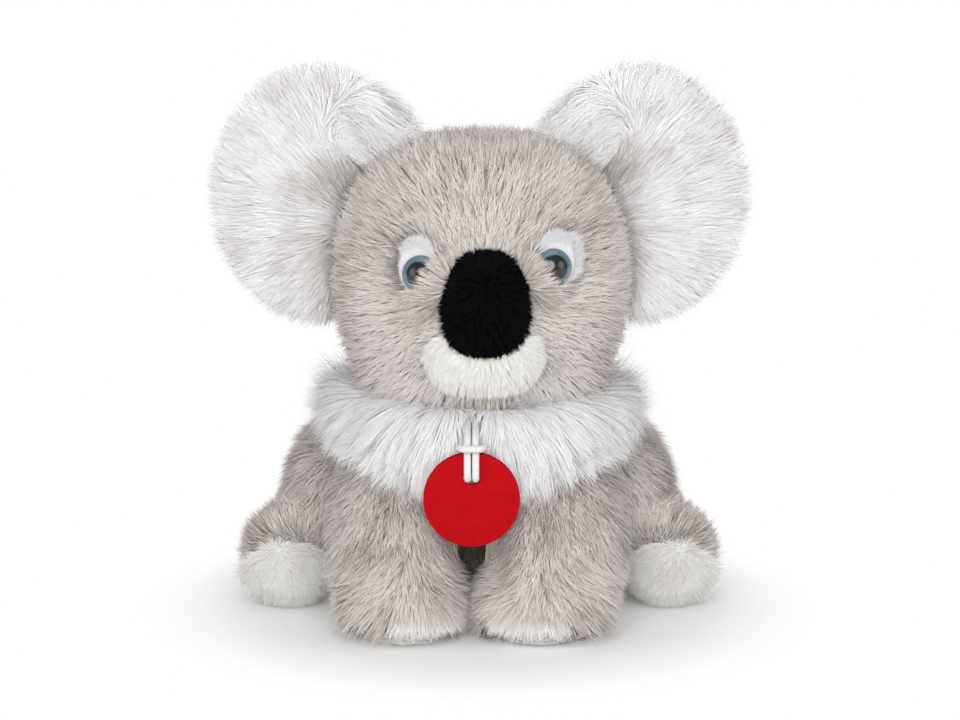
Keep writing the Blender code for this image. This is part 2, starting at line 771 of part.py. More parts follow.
def plain_cylinder(name, diameter, low, high, place, collection, stretch=1.0, steps=EYE_STEPS):
    bm = bmesh.new()
    bmesh.ops.create_cone(
        bm, cap_ends=True, segments=steps, radius1=diameter / 2, radius2=diameter / 2, depth=high - low
    )
    shape = Matrix.Translation((0, 0, (high + low) / 2)) @ Matrix.Diagonal((1, stretch, 1, 1))
    bmesh.ops.transform(bm, matrix=place @ shape, verts=bm.verts)
    return object_from_bmesh(name, bm, collection, smooth=False)


def make_eye(side, parts, cutters, head_form, head_grown, cover, filling, empty):
    place = eye_frame(surface_tree(head_form), side)
    seat = FELT_THICKNESS + GAP
    stem = EYE_STEM_DIAMETER / 2
    stem_end = -COVER_WALL - WASHER_THICKNESS - EYE_STEM_END

    profile = [(0, stem_end), (stem, stem_end), (stem, seat), (EYE_DIAMETER / 2, seat)]
    for index in range(DOME_POINTS - 1):
        turn = math.pi / 2 * index / (DOME_POINTS - 1)
        dome = seat + EYE_RIM + EYE_DOME_HEIGHT * math.sin(turn)
        profile.append((EYE_DIAMETER / 2 * math.cos(turn), dome))
    profile.append((0, seat + EYE_RIM + EYE_DOME_HEIGHT))
    eye = turned_object(f"eye_{side}", profile, EYE_STEPS, place, parts)
    finish_part(eye, EYE_DARK, 0.05, empty)

    bore = EYE_STEM_DIAMETER + 2 * EYE_STEM_CLEARANCE
    hole_low = stem_end - EYE_STEM_CLEARANCE
    hole = plain_cylinder(f"eye_hole_{side}", bore, hole_low, seat + EYE_RIM, place, cutters)
    shift = Matrix.Translation((SIDES[side] * FELT_OUT, FELT_UP, 0))
    felt = plain_cylinder(
        f"eye_felt_{side}", FELT_WIDTH, -COVER_WALL, FELT_THICKNESS, place @ shift, parts,
        stretch=FELT_HEIGHT / FELT_WIDTH,
    )
    boolean(felt, head_grown)
    boolean(felt, hole)
    finish_part(felt, SHORT_WHITE, 1.0, empty)
    boolean(cover, hole)

    washer_top = -COVER_WALL - WASHER_CLEARANCE
    washer_low = washer_top - WASHER_THICKNESS
    washer_name = f"eye_washer_{side}"
    washer = plain_cylinder(washer_name, WASHER_DIAMETER, washer_low, washer_top, place, parts)
    boolean(washer, hole)
    finish_part(washer, WASHER_WHITE, 0.5, empty)
    boolean(filling, hole)
    room_diameter = WASHER_DIAMETER + 2 * GAP
    for owner, name, top in ((filling, "filling", 0.0), (cover, "cover", washer_top + GAP)):
        room = plain_cylinder(
            f"eye_washer_{name}_room_{side}", room_diameter, washer_low - GAP, top, place, cutters
        )
        boolean(owner, room)


# Bib


def make_bib(parts, cutters, spaces):
    """A crescent of pile round the neck, deepest under the chin and thin where it ends."""
    side_reach = TORSO_WIDTH * BIB_SIDE_REACH_SHARE
    bm = bmesh.new()
    rows = []
    for station in range(BIB_STATIONS):
        share = 2 * station / (BIB_STATIONS - 1) - 1
        turn = math.radians(BIB_SPREAD * share)
        side = math.sin(min(abs(turn), math.pi / 2)) ** 2
        ending = max(0.0, abs(share) - BIB_TAPER_SHARE) / (1 - BIB_TAPER_SHARE)
        end = 1 - (1 - BIB_END_SHARE) * ending
        reach = BIB_FRONT_REACH + (side_reach - BIB_FRONT_REACH) * side
        drop = BIB_FRONT_DROP + (BIB_SIDE_DROP - BIB_FRONT_DROP) * side
        middle = BIB_FRONT_TOP + (BIB_SIDE_TOP - BIB_FRONT_TOP) * side - drop / 2
        thick = (BIB_FRONT_THICKNESS + (BIB_SIDE_THICKNESS - BIB_FRONT_THICKNESS) * side) * end
        row = []
        for index in range(BIB_SIDES):
            around = math.tau * index / BIB_SIDES
            far = reach + thick / 2 * math.cos(around)
            height = middle + drop * end / 2 * math.sin(around)
            row.append(bm.verts.new((far * math.sin(turn), -far * math.cos(turn), height)))
        rows.append(row)
    for row, after in zip(rows, rows[1:]):
        for index in range(BIB_SIDES):
            beside = (index + 1) % BIB_SIDES
            bm.faces.new((row[index], row[beside], after[beside], after[index]))
    bm.faces.new(rows[0])
    bm.faces.new(rows[-1])
    bmesh.ops.recalc_face_normals(bm, faces=bm.faces)
    bib = triangulate(subdivide(object_from_bmesh("bib", bm, parts)))
    channel = plain_cylinder(
        "cord_channel", CORD_CHANNEL_DIAMETER, 0, CUT_OVERRUN, swing_frame(0), cutters
    )
    for cutter in (*spaces, channel):
        boolean(bib, cutter)
    finish_part(bib, PLUSH_WHITE, 0.95)
    return bib


# Tag and cord


def add_outline(curve, points):
    spline = curve.splines.new("POLY")
    spline.points.add(len(points) - 1)
    for target, (across, up) in zip(spline.points, points):
        target.co = (across, up, 0, 1)
    spline.use_cyclic_u = True


def slot_outline(half_width, half_height, centre_up, count):
    """A slot with round ends, run round once."""
    points = []
    for end in (1, -1):
        for index in range(count + 1):
            turn = math.pi * (index / count - 0.5)
            across = end * ((half_width - half_height) + half_height * math.cos(turn))
            points.append((across, centre_up + end * half_height * math.sin(turn)))
    return points


def swing_frame(ahead):
    """The axis that the tag swings about, with its own Z out of the chest."""
    place = Matrix.Translation((TAG_ASIDE, -ahead, NECK_HEIGHT - SWING_AXIS_DROP))
    return place @ Matrix.Rotation(math.pi / 2, 4, "X")


def tag_places():
    """Heights of the tag's middle, its upper edge and its hole."""
    middle = NECK_HEIGHT - TAG_DROP
    edge = middle + TAG_DIAMETER / 2
    return middle, edge, edge - TAG_HOLE_BELOW_EDGE


def make_tag(parts, empty):
    middle, _, hole = tag_places()
    radius = TAG_DIAMETER / 2
    curve = bpy.data.curves.new("tag", "CURVE")
    curve.dimensions = "2D"
    curve.fill_mode = "BOTH"
    curve.extrude = TAG_THICKNESS / 2
    edge_points = []
    for index in range(TAG_EDGE_POINTS):
        turn = math.tau * index / TAG_EDGE_POINTS
        edge_points.append((radius * math.cos(turn), radius * math.sin(turn)))
    add_outline(curve, edge_points)
    half_width = CORD_SPACING / 2 + CORD_DIAMETER / 2 + CORD_CLEARANCE
    half_height = CORD_DIAMETER / 2 + 2 * CORD_CLEARANCE
    add_outline(curve, slot_outline(half_width, half_height, hole - middle, TAG_HOLE_POINTS))
    tag = bpy.data.objects.new("tag", curve)
    tag.rotation_euler = (math.pi / 2, 0, 0)
    tag.location = (TAG_ASIDE, -TAG_FRONT, middle)
    link(tag, parts)
    finish_part(tag, TAG_RED, 0.95, empty)


def cord_route(start_depth):
    """Half of the loop: from the neck seam over the bib, down the tag's face, through its hole, up
    behind it and over its edge to the middle of the wrap, as places across, ahead and up."""
    _, edge, hole = tag_places()
    heights = {"edge": edge, "slot": hole + CORD_DIAMETER / 2 + 2 * CORD_CLEARANCE}
    strand = CORD_SPACING / 2
    face = TAG_THICKNESS / 2 + CORD_CLEARANCE + CORD_DIAMETER / 2
    route = []
    for share in CORD_LEAD_SHARES:
        ahead = start_depth + (TAG_FRONT - start_depth) * share
        route.append((strand, ahead, NECK_HEIGHT - SWING_AXIS_DROP))
    for anchor, across, ahead, up in CORD_ROUTE_SHARES:
        route.append((strand * across, TAG_FRONT + face * ahead, heights[anchor] + CORD_DIAMETER * up))
    return route


def smooth_points(places, steps):
    """Points on a smooth curve through the places."""
    points = []
    for index in range(len(places) - 1):
        before = places[max(index - 1, 0)]
        here = places[index]
        there = places[index + 1]
        after = places[min(index + 2, len(places) - 1)]
        for step in range(steps):
            t = step / steps
            points.append(
                0.5
                * (
                    2 * here
                    + (there - before) * t
                    + (2 * before - 5 * here + 4 * there - after) * t**2
                    + (3 * here - before - 3 * there + after) * t**3
                )
            )
    points.append(places[-1])
    return points


def make_cord(parts, torso_form, empty):
    tree = surface_tree(torso_form)
    point, _ = front_point(tree, TAG_ASIDE, NECK_HEIGHT - SWING_AXIS_DROP)
    half = cord_route(-point.y + CORD_START_CLEARANCE)
    places = [Vector((TAG_ASIDE + across, -ahead, up)) for across, ahead, up in half]
    places += [Vector((TAG_ASIDE - across, -ahead, up)) for across, ahead, up in reversed(half)]
    points = smooth_points(places, CORD_STEPS)
    curve = bpy.data.curves.new("tag_cord", "CURVE")
    curve.dimensions = "3D"
    curve.bevel_depth = CORD_DIAMETER / 2
    curve.bevel_resolution = 2
    curve.use_fill_caps = True
    spline = curve.splines.new("POLY")
    spline.points.add(len(points) - 1)
    for target, place in zip(spline.points, points):
        target.co = (*place, 1)
    cord = link(bpy.data.objects.new("tag_cord", curve), parts)
    finish_part(cord, CORD_WHITE, 0.9, empty)


# Assembly


def main():
    clear_scene()
    parts = new_collection("Plush koala")
    cutters = new_collection("Cutters")

    torso_form, floor, above = make_torso(parts, cutters)
    torso_grown = grown(torso_form, "torso_clearance", GAP, cutters)

    neck = joint_empty("neck_turn", (0, 0, NECK_HEIGHT))
    head_form, head_cover, head_filling = make_head(parts, cutters, neck)
    head_grown = grown(head_form, "head_clearance", GAP, cutters)
    make_face(parts, cutters, head_form, head_grown, neck)
    for side in SIDES:
        make_eye(side, parts, cutters, head_form, head_grown, head_cover, head_filling, neck)

    leg_reaches = []
    for side, sign in SIDES.items():
        top = Vector((sign * EAR_ROOT_TOP_ASIDE, EAR_ROOT_DEPTH, NECK_HEIGHT + EAR_ROOT_TOP_RISE))
        low = Vector((sign * EAR_ROOT_LOW_ASIDE, EAR_ROOT_DEPTH, NECK_HEIGHT + EAR_ROOT_LOW_RISE))
        root = joint_empty(f"ear_{side}_fold", (top + low) / 2)
        make_ear(side, parts, cutters, head_grown, root, (top - low).normalized())

        shoulder = joint_empty(
            f"foreleg_{side}_splay", (sign * FORELEG_SPLAY_AXIS_ASIDE, 0, FORELEG_SPLAY_AXIS_HEIGHT)
        )
        leg_reaches.append(make_foreleg(side, parts, cutters, torso_grown, floor, shoulder))
        hip = joint_empty(f"hindleg_{side}_lift", (0, HINDLEG_LIFT_AXIS_DEPTH, HINDLEG_LIFT_AXIS_HEIGHT))
        make_hindleg(side, parts, cutters, torso_grown, floor, hip)

    turns = [NECK_TURN_RANGE * share for share in BOTH_WAYS_SHARES]
    head_reach = swept_hull("head_reach", head_grown, Vector(neck.location), "Z", turns, cutters)
    make_bib(parts, cutters, (torso_grown, head_reach, *leg_reaches))
    swing = joint_empty("tag_swing", (TAG_ASIDE, -TAG_FRONT, NECK_HEIGHT - SWING_AXIS_DROP))
    make_tag(parts, swing)
    make_cord(parts, torso_form, swing)


main()
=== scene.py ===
"""Looks of a sitting plush koala: pile grown over sewn forms, glossy safety eyes, felt and a braided cord.

Metres, +Z up, the face towards -Y. Each sewn form is smoothed from its solid, drawn in by the height of
the pile, and then grown over with strands that follow a combed direction.
"""

import math

import bmesh
import bpy
import numpy as np
from bpy.props import FloatProperty, FloatVectorProperty, IntProperty, PointerProperty
from mathutils import Matrix, Vector


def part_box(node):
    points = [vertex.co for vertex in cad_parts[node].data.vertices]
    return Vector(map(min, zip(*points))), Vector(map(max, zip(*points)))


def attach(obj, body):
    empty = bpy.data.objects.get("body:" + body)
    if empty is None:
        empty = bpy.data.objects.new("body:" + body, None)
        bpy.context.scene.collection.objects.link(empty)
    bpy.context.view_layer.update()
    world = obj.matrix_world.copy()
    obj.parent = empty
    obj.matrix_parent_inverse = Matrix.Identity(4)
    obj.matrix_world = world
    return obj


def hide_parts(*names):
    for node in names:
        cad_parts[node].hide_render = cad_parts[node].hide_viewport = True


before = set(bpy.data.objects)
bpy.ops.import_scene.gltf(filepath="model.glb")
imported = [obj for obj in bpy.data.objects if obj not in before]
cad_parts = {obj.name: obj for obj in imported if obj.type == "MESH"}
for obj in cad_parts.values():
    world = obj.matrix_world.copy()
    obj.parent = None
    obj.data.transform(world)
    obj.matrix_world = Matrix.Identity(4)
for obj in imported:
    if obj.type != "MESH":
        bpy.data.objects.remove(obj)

bl_info = {
    "name": "Plush koala",
    "version": (1, 0, 0),
    "blender": (4, 5, 0),
    "location": "View3D > Sidebar > Koala",
    "description": "Grows the pile and makes the small parts of a sitting plush koala",
    "category": "Object",
}

SIDES = {"left": -1.0, "right": 1.0}
WELD = 0.00001
FLOOR_GAP = 0.0004
# Whatever faces the viewer on the head, the torso and the bib lies ahead of these depths
FACE_FRONT = -0.02
BIB_FRONT = -0.03

# Places on the toy that the pile is combed round
FACE_MIDDLE = np.array((0.0027, -0.062, 0.1465))
NOSE_MIDDLE = np.array((0.00275, 0.147))
NOSE_HALF = np.array((0.0181, 0.0217))
MUZZLE_MIDDLE = np.array((0.0029, 0.1207))
MUZZLE_HALF = np.array((0.0276, 0.0137))
CHIN_MIDDLE = np.array((-0.001, -0.02, 0.122))
PAW_WHORL = np.array((0.0255, -0.070, 0.040))
FOOT_MIDDLE = np.array((0.078, -0.008, 0.018))
SOLE_WHORL = np.array((0.0875, -0.013, 0.0275))
EAR_ROOT = np.array((0.048, 0.0, 0.166))
EAR_LOBE = np.array((0.047, 0.0, 0.217))
EAR_MIDDLE = np.array((0.067, 0.1818))
EAR_HALF = np.array((0.046, 0.0545))
CORD_ASIDE = -0.0031

# The grey pile over each eye's lower inner rim, and the white pile above and outside the eye
EYE_INWARDS = (0.85, 0.53)
FRINGE_CUT = {-1.0: 0.0009, 1.0: 0.0032}
FRINGE_REACH = 0.0090
BROW_ASIDE = {-1.0: 0.0014, 1.0: 0.0036}
BROW_RISE = 0.0024
BROW_HALF = (0.0064, 0.0096)

# The safety eye, the felt behind it and the coloured ring in it
EYE_RADIUS = 0.0079
EYE_DOME = 0.0062
EYE_RIM = 0.0008
EYE_EDGE = 0.0004
STEM_RADIUS = 0.002
STEM_END = -0.0183
DOME_STEPS = 13
TURNED_STEPS = 48
RING_MIDDLE = (0.0015, -0.0003)
FELT_SHIFT = (0.0022, 0.0030, -0.0003)
FELT_STRETCH = (1.0, 1.25)
FELT_PROFILE = (
    (0, -0.0045), (0.0075, -0.0045), (0.0086, -0.0008), (0.0085, -0.0003),
    (0.0081, 0.0001), (0.0072, 0.0003), (0.005, 0.0003), (0, 0.0003),
)

# Colours and fibre scales of the finishes
BLACK = (0.0, 0.0, 0.0)
WHITE = (1.0, 1.0, 1.0)
PUPIL = (0.004, 0.003, 0.006)
PUPIL_RIM = (0.006, 0.005, 0.009)
BACKING_FIBRES = 900.0
FELT_FIBRES = 2600.0

# How often the braid repeats along the cord and round it
BRAID_ALONG = 110
BRAID_ROUND = 5

# The floor's size and glow, and where it starts and ends fading to plain white
FLOOR_SIZE = 4.0
FLOOR_GLOW = 0.17
FADE_START = 0.086
FADE_END = 0.150

# Name, place and diameter of each soft lamp, and the setting that gives its power
LAMPS = (
    ("Front lamp", (-0.02, -1.6, 0.75), 1.4, "front_power"),
    ("Overhead lamp", (0.0, 0.1, 1.4), 1.2, "overhead_power"),
    ("Left lamp", (-1.3, -0.8, 0.55), 0.9, "side_power"),
    ("Right lamp", (1.3, -0.8, 0.55), 0.9, "side_power"),
)


# Settings


class KoalaPile(bpy.types.PropertyGroup):
    """Lengths and crowding of the pile."""

    head_length: FloatProperty(
        name="Head pile", description="Strand length on the head", default=0.0092, unit="LENGTH"
    )
    body_length: FloatProperty(
        name="Body pile", description="Strand length on the torso and legs", default=0.0092, unit="LENGTH"
    )
    ear_length: FloatProperty(
        name="Ear lining pile", description="Strand length inside the ears", default=0.0165, unit="LENGTH"
    )
    bib_length: FloatProperty(
        name="Bib pile", description="Strand length on the bib", default=0.0250, unit="LENGTH"
    )
    short_length: FloatProperty(
        name="Short pile", description="Strand length on the muzzle and soles",
        default=0.0046, unit="LENGTH",
    )
    nose_length: FloatProperty(
        name="Nose pile", description="Strand length on the nose", default=0.0042, unit="LENGTH"
    )
    strand_width: FloatProperty(
        name="Strand width", description="Width of a strand at its root", default=0.00046, unit="LENGTH"
    )
    crowding: FloatProperty(
        name="Crowding", description="Share of the full number of strands",
        default=1.0, min=0.05, subtype="FACTOR",
    )
    seed: IntProperty(name="Seed", description="Start value for all that is random", default=7)


class KoalaColours(bpy.types.PropertyGroup):
    """Colours of the pile, the felt, the cord and the eyes."""

    grey_deep: FloatVectorProperty(
        name="Grey, deep", description="Darkest strands of the grey pile",
        default=(0.34, 0.27, 0.245), subtype="COLOR",
    )
    grey_light: FloatVectorProperty(
        name="Grey, light", description="Lightest strands of the grey pile",
        default=(0.84, 0.785, 0.75), subtype="COLOR",
    )
    white_deep: FloatVectorProperty(
        name="White, deep", description="Darkest strands of the white pile",
        default=(0.54, 0.49, 0.46), subtype="COLOR",
    )
    white_light: FloatVectorProperty(
        name="White, light", description="Lightest strands of the white pile",
        default=(0.97, 0.97, 0.98), subtype="COLOR",
    )
    cream_deep: FloatVectorProperty(
        name="Cream, deep", description="Darkest strands of the short white pile",
        default=(0.72, 0.70, 0.64), subtype="COLOR",
    )
    cream_light: FloatVectorProperty(
        name="Cream, light", description="Lightest strands of the short white pile",
        default=(0.90, 0.89, 0.86), subtype="COLOR",
    )
    black_deep: FloatVectorProperty(
        name="Black, deep", description="Darkest strands of the nose",
        default=(0.0002, 0.0002, 0.0002), subtype="COLOR",
    )
    black_light: FloatVectorProperty(
        name="Black, light", description="Lightest strands of the nose",
        default=(0.0075, 0.0066, 0.0070), subtype="COLOR",
    )
    felt_red: FloatVectorProperty(
        name="Felt red", description="Red felt of the tag", default=(0.45, 0.006, 0.010), subtype="COLOR"
    )
    cord_white: FloatVectorProperty(
        name="Cord white", description="Braided cord", default=(0.84, 0.84, 0.83), subtype="COLOR"
    )
    iris: FloatVectorProperty(
        name="Iris", description="Ring of the eyes", default=(0.055, 0.150, 0.190), subtype="COLOR"
    )


class KoalaCord(bpy.types.PropertyGroup):
    """The tag's cord."""

    diameter: FloatProperty(name="Diameter", description="Cord diameter", default=0.003, unit="LENGTH")
    length: FloatProperty(name="Length", description="Cord length", default=0.170, unit="LENGTH")


class KoalaStage(bpy.types.PropertyGroup):
    """Floor, lamps and camera."""

    camera_distance: FloatProperty(
        name="Camera distance", description="Camera to the aim point", default=1.4467, unit="LENGTH"
    )
    camera_elevation: FloatProperty(
        name="Camera elevation", description="Angle above the level",
        default=math.radians(12), subtype="ANGLE",
    )
    lens: FloatProperty(name="Lens", description="Focal length in millimetres", default=125.0)
    aim: FloatVectorProperty(
        name="Aim point", description="What the camera looks at",
        default=(0.0004, 0.0, 0.1096), subtype="TRANSLATION",
    )
    front_power: FloatProperty(name="Front lamp", description="Watts", default=25.0)
    overhead_power: FloatProperty(name="Overhead lamp", description="Watts", default=3.0)
    side_power: FloatProperty(name="Side lamps", description="Watts each", default=3.0)
    surround: FloatProperty(name="Surround", description="Light from all round", default=0.3)


# Arrays


def smooth_step(value, start, end):
    """0 at the start and 1 at the end, with a soft turn at both."""
    share = np.clip((value - start) / (end - start), 0.0, 1.0)
    return share * share * (3.0 - 2.0 * share)


def unit(vectors):
    return vectors / np.maximum(np.linalg.norm(vectors, axis=1, keepdims=True), 1e-9)


def along_surface(vectors, normals):
    """The vectors laid flat on the surface, each of length 1."""
    return unit(vectors - normals * np.sum(vectors * normals, axis=1, keepdims=True))


def mixed(first, second, share):
    return first * (1.0 - share[:, None]) + second * share[:, None]


def ellipse_share(places, middle, half):
    """1 on the ellipse's edge as the viewer in front sees it, less inside it."""
    return np.hypot((places[:, 0] - middle[0]) / half[0], (places[:, 2] - middle[1]) / half[1])


# Meshes


def object_from_bmesh(name, bm):
    mesh = bpy.data.meshes.new(name)
    bm.to_mesh(mesh)
    bm.free()
    made = bpy.data.objects.new(name, mesh)
    bpy.context.scene.collection.objects.link(made)
    return made


def plain_copy(thing, name):
    """A plain mesh object with the shape that another object's modifiers give it."""
    bpy.context.view_layer.update()
    seen = thing.evaluated_get(bpy.context.evaluated_depsgraph_get())
    mesh = bpy.data.meshes.new_from_object(seen)
    mesh.name = name
    made = bpy.data.objects.new(name, mesh)
    bpy.context.scene.collection.objects.link(made)
    return made


def largest_piece(mesh):
    """Keeps only the largest connected shell of a mesh."""
    bm = bmesh.new()
    bm.from_mesh(mesh)
    left = set(bm.verts)
    shells = []
    while left:
        edge = [left.pop()]
        shell = list(edge)
        while edge:
            nearby = {link.other_vert(corner) for corner in edge for link in corner.link_edges} & left
            left -= nearby
            edge = list(nearby)
            shell += edge
        shells.append(shell)
    shells.sort(key=len)
    spare = [corner for shell in shells[:-1] for corner in shell]
    bmesh.ops.delete(bm, geom=spare, context="VERTS")
    bm.to_mesh(mesh)
    bm.free()


def merged_copy(name, nodes):
    """The solids of these nodes in one mesh, with each solid's loose triangles joined."""
    bm = bmesh.new()
    for node in nodes:
        bm.from_mesh(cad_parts[node].data)
    bmesh.ops.remove_doubles(bm, verts=bm.verts, dist=WELD)
    return object_from_bmesh(name, bm)


def sewn_form(name, nodes, voxel, rounds):
    """One closed, smooth form round these solids."""
    rough = merged_copy(f"{name}_solid", nodes)
    grid = rough.modifiers.new("Remesh", "REMESH")
    grid.mode = "VOXEL"
    grid.voxel_size = voxel
    soft = rough.modifiers.new("Smooth", "SMOOTH")
    soft.factor = 0.5
    soft.iterations = rounds
    form = plain_copy(rough, name)
    bpy.data.objects.remove(rough, do_unlink=True)
    largest_piece(form.data)
    form.data.shade_smooth()
    return form


def refine_near(form, middles, reach):
    """Divides the faces within reach of these places, as seen from the front, for clean edges there."""
    bm = bmesh.new()
    bm.from_mesh(form.data)
    close = {
        corner
        for corner in bm.verts
        if corner.co.y < FACE_FRONT
        and any(math.hypot(corner.co.x - x, corner.co.z - z) < reach for x, z in middles)
    }
    edges = [edge for edge in bm.edges if edge.verts[0] in close and edge.verts[1] in close]
    bmesh.ops.subdivide_edges(bm, edges=edges, cuts=2, use_grid_fill=True)
    bm.to_mesh(form.data)
    bm.free()
    form.data.shade_smooth()


def read_places(mesh):
    places = np.empty(len(mesh.vertices) * 3, dtype=np.float32)
    mesh.vertices.foreach_get("co", places)
    return places.reshape(-1, 3).astype(float)


def read_normals(mesh):
    normals = np.empty(len(mesh.vertices) * 3, dtype=np.float32)
    mesh.vertex_normals.foreach_get("vector", normals)
    return normals.reshape(-1, 3).astype(float)


def write_places(mesh, places):
    mesh.vertices.foreach_set("co", places.astype(np.float32).ravel())
    mesh.update()


def store(mesh, name, values):
    """A named value or vector at each vertex."""
    kind, key = ("FLOAT_VECTOR", "vector") if values.ndim == 2 else ("FLOAT", "value")
    made = mesh.attributes.get(name) or mesh.attributes.new(name, kind, "POINT")
    made.data.foreach_set(key, values.astype(np.float32).ravel())


def evenly(value):
    """The same value all over a form."""
    return lambda places, normals: np.full(len(places), value)


def dress(form, inset, comb, pile, tone=evenly(0.0), rise=evenly(1.0)):
    """Draws the form in under its pile, and stores the pile's lie, length, lightness and uprightness."""
    mesh = form.data
    places = read_places(mesh)
    normals = read_normals(mesh)
    write_places(mesh, places - normals * inset(places, normals)[:, None])
    places = read_places(mesh)
    normals = read_normals(mesh)
    store(mesh, "comb", comb(places, normals))
    store(mesh, "pile", pile(places, normals))
    store(mesh, "tone", tone(places, normals))
    store(mesh, "rise", rise(places, normals))


# Node trees


def add_node(tree, kind, **settings):
    made = tree.nodes.new(kind)
    for key, value in settings.items():
        setattr(made, key, value)
    return made


def feed(tree, socket, value):
    """Joins another node's socket to this one, or sets its value."""
    if isinstance(value, bpy.types.NodeSocket):
        tree.links.new(value, socket)
    else:
        socket.default_value = value


def maths(tree, operation, first, second=0.0):
    made = add_node(tree, "ShaderNodeMath", operation=operation)
    feed(tree, made.inputs[0], first)
    feed(tree, made.inputs[1], second)
    return made.outputs[0]


def vector_maths(tree, operation, first, second=None, scale=None):
    made = add_node(tree, "ShaderNodeVectorMath", operation=operation)
    feed(tree, made.inputs[0], first)
    if second is not None:
        feed(tree, made.inputs[1], second)
    if scale is not None:
        feed(tree, made.inputs["Scale"], scale)
    return made.outputs[0]


PILE_INPUTS = (
    ("Crowding", "NodeSocketFloat", 1000000.0),
    ("Length", "NodeSocketFloat", 0.009),
    ("Width", "NodeSocketFloat", 0.0004),
    ("Root lean", "NodeSocketFloat", 0.5),
    ("Tip lean", "NodeSocketFloat", 1.3),
    ("Bends", "NodeSocketInt", 2),
    ("Lock crowding", "NodeSocketFloat", 60000.0),
    ("Lock pull", "NodeSocketFloat", 0.6),
    ("Scatter", "NodeSocketFloat", 0.2),
    ("Rise change", "NodeSocketFloat", 0.35),
    ("Patch size", "NodeSocketFloat", 0.012),
    ("Seed", "NodeSocketInt", 1),
    ("Finish", "NodeSocketMaterial", None),
)


def named(tree, name, kind):
    """The value that the mesh carries under this name."""
    made = add_node(tree, "GeometryNodeInputNamedAttribute", data_type=kind)
    made.inputs["Name"].default_value = name
    return made.outputs["Attribute"]


def keep_as(tree, geometry, name, kind, domain, value):
    """Stores a value on the mesh under this name."""
    made = add_node(tree, "GeometryNodeStoreNamedAttribute", data_type=kind, domain=domain)
    made.inputs["Name"].default_value = name
    feed(tree, made.inputs["Geometry"], geometry)
    feed(tree, made.inputs["Value"], value)
    return made.outputs["Geometry"]


def chance(tree, low, high, seed):
    made = add_node(tree, "FunctionNodeRandomValue", data_type="FLOAT")
    feed(tree, made.inputs[2], low)
    feed(tree, made.inputs[3], high)
    feed(tree, made.inputs["Seed"], seed)
    return made.outputs[1]


def strand_shape(tree, asks):
    """One flat strand that leaves the cloth at the root lean, bends to the tip lean and ends in a point."""
    rows = maths(tree, "ADD", asks["Bends"], 1.0)
    grid = add_node(tree, "GeometryNodeMeshGrid")
    feed(tree, grid.inputs["Vertices X"], 2)
    feed(tree, grid.inputs["Vertices Y"], rows)
    place = add_node(tree, "GeometryNodeInputPosition").outputs[0]
    apart = add_node(tree, "ShaderNodeSeparateXYZ")
    feed(tree, apart.inputs[0], place)
    far = maths(tree, "ADD", apart.outputs["Y"], 0.5)
    shape = keep_as(tree, grid.outputs["Mesh"], "far", "FLOAT", "POINT", far)
    far = named(tree, "far", "FLOAT")
    root = asks["Root lean"]
    turn = maths(tree, "SUBTRACT", asks["Tip lean"], root)
    lean = maths(tree, "ADD", root, maths(tree, "MULTIPLY", turn, far))
    reach = maths(tree, "DIVIDE", asks["Length"], turn)
    ahead = maths(tree, "SUBTRACT", maths(tree, "COSINE", root), maths(tree, "COSINE", lean))
    rise = maths(tree, "SUBTRACT", maths(tree, "SINE", lean), maths(tree, "SINE", root))
    taper = maths(tree, "POWER", maths(tree, "SUBTRACT", 1.0, far), 0.6)
    across = maths(tree, "MULTIPLY", maths(tree, "MULTIPLY", apart.outputs["X"], asks["Width"]), taper)
    joined = add_node(tree, "ShaderNodeCombineXYZ")
    feed(tree, joined.inputs["X"], across)
    feed(tree, joined.inputs["Y"], maths(tree, "MULTIPLY", ahead, reach))
    feed(tree, joined.inputs["Z"], maths(tree, "MULTIPLY", rise, reach))
    moved = add_node(tree, "GeometryNodeSetPosition")
    feed(tree, moved.inputs["Geometry"], shape)
    feed(tree, moved.inputs["Position"], joined.outputs[0])
    merged = add_node(tree, "GeometryNodeMergeByDistance")
    feed(tree, merged.inputs["Geometry"], moved.outputs[0])
    feed(tree, merged.inputs["Distance"], WELD / 10)
    return merged.outputs[0]


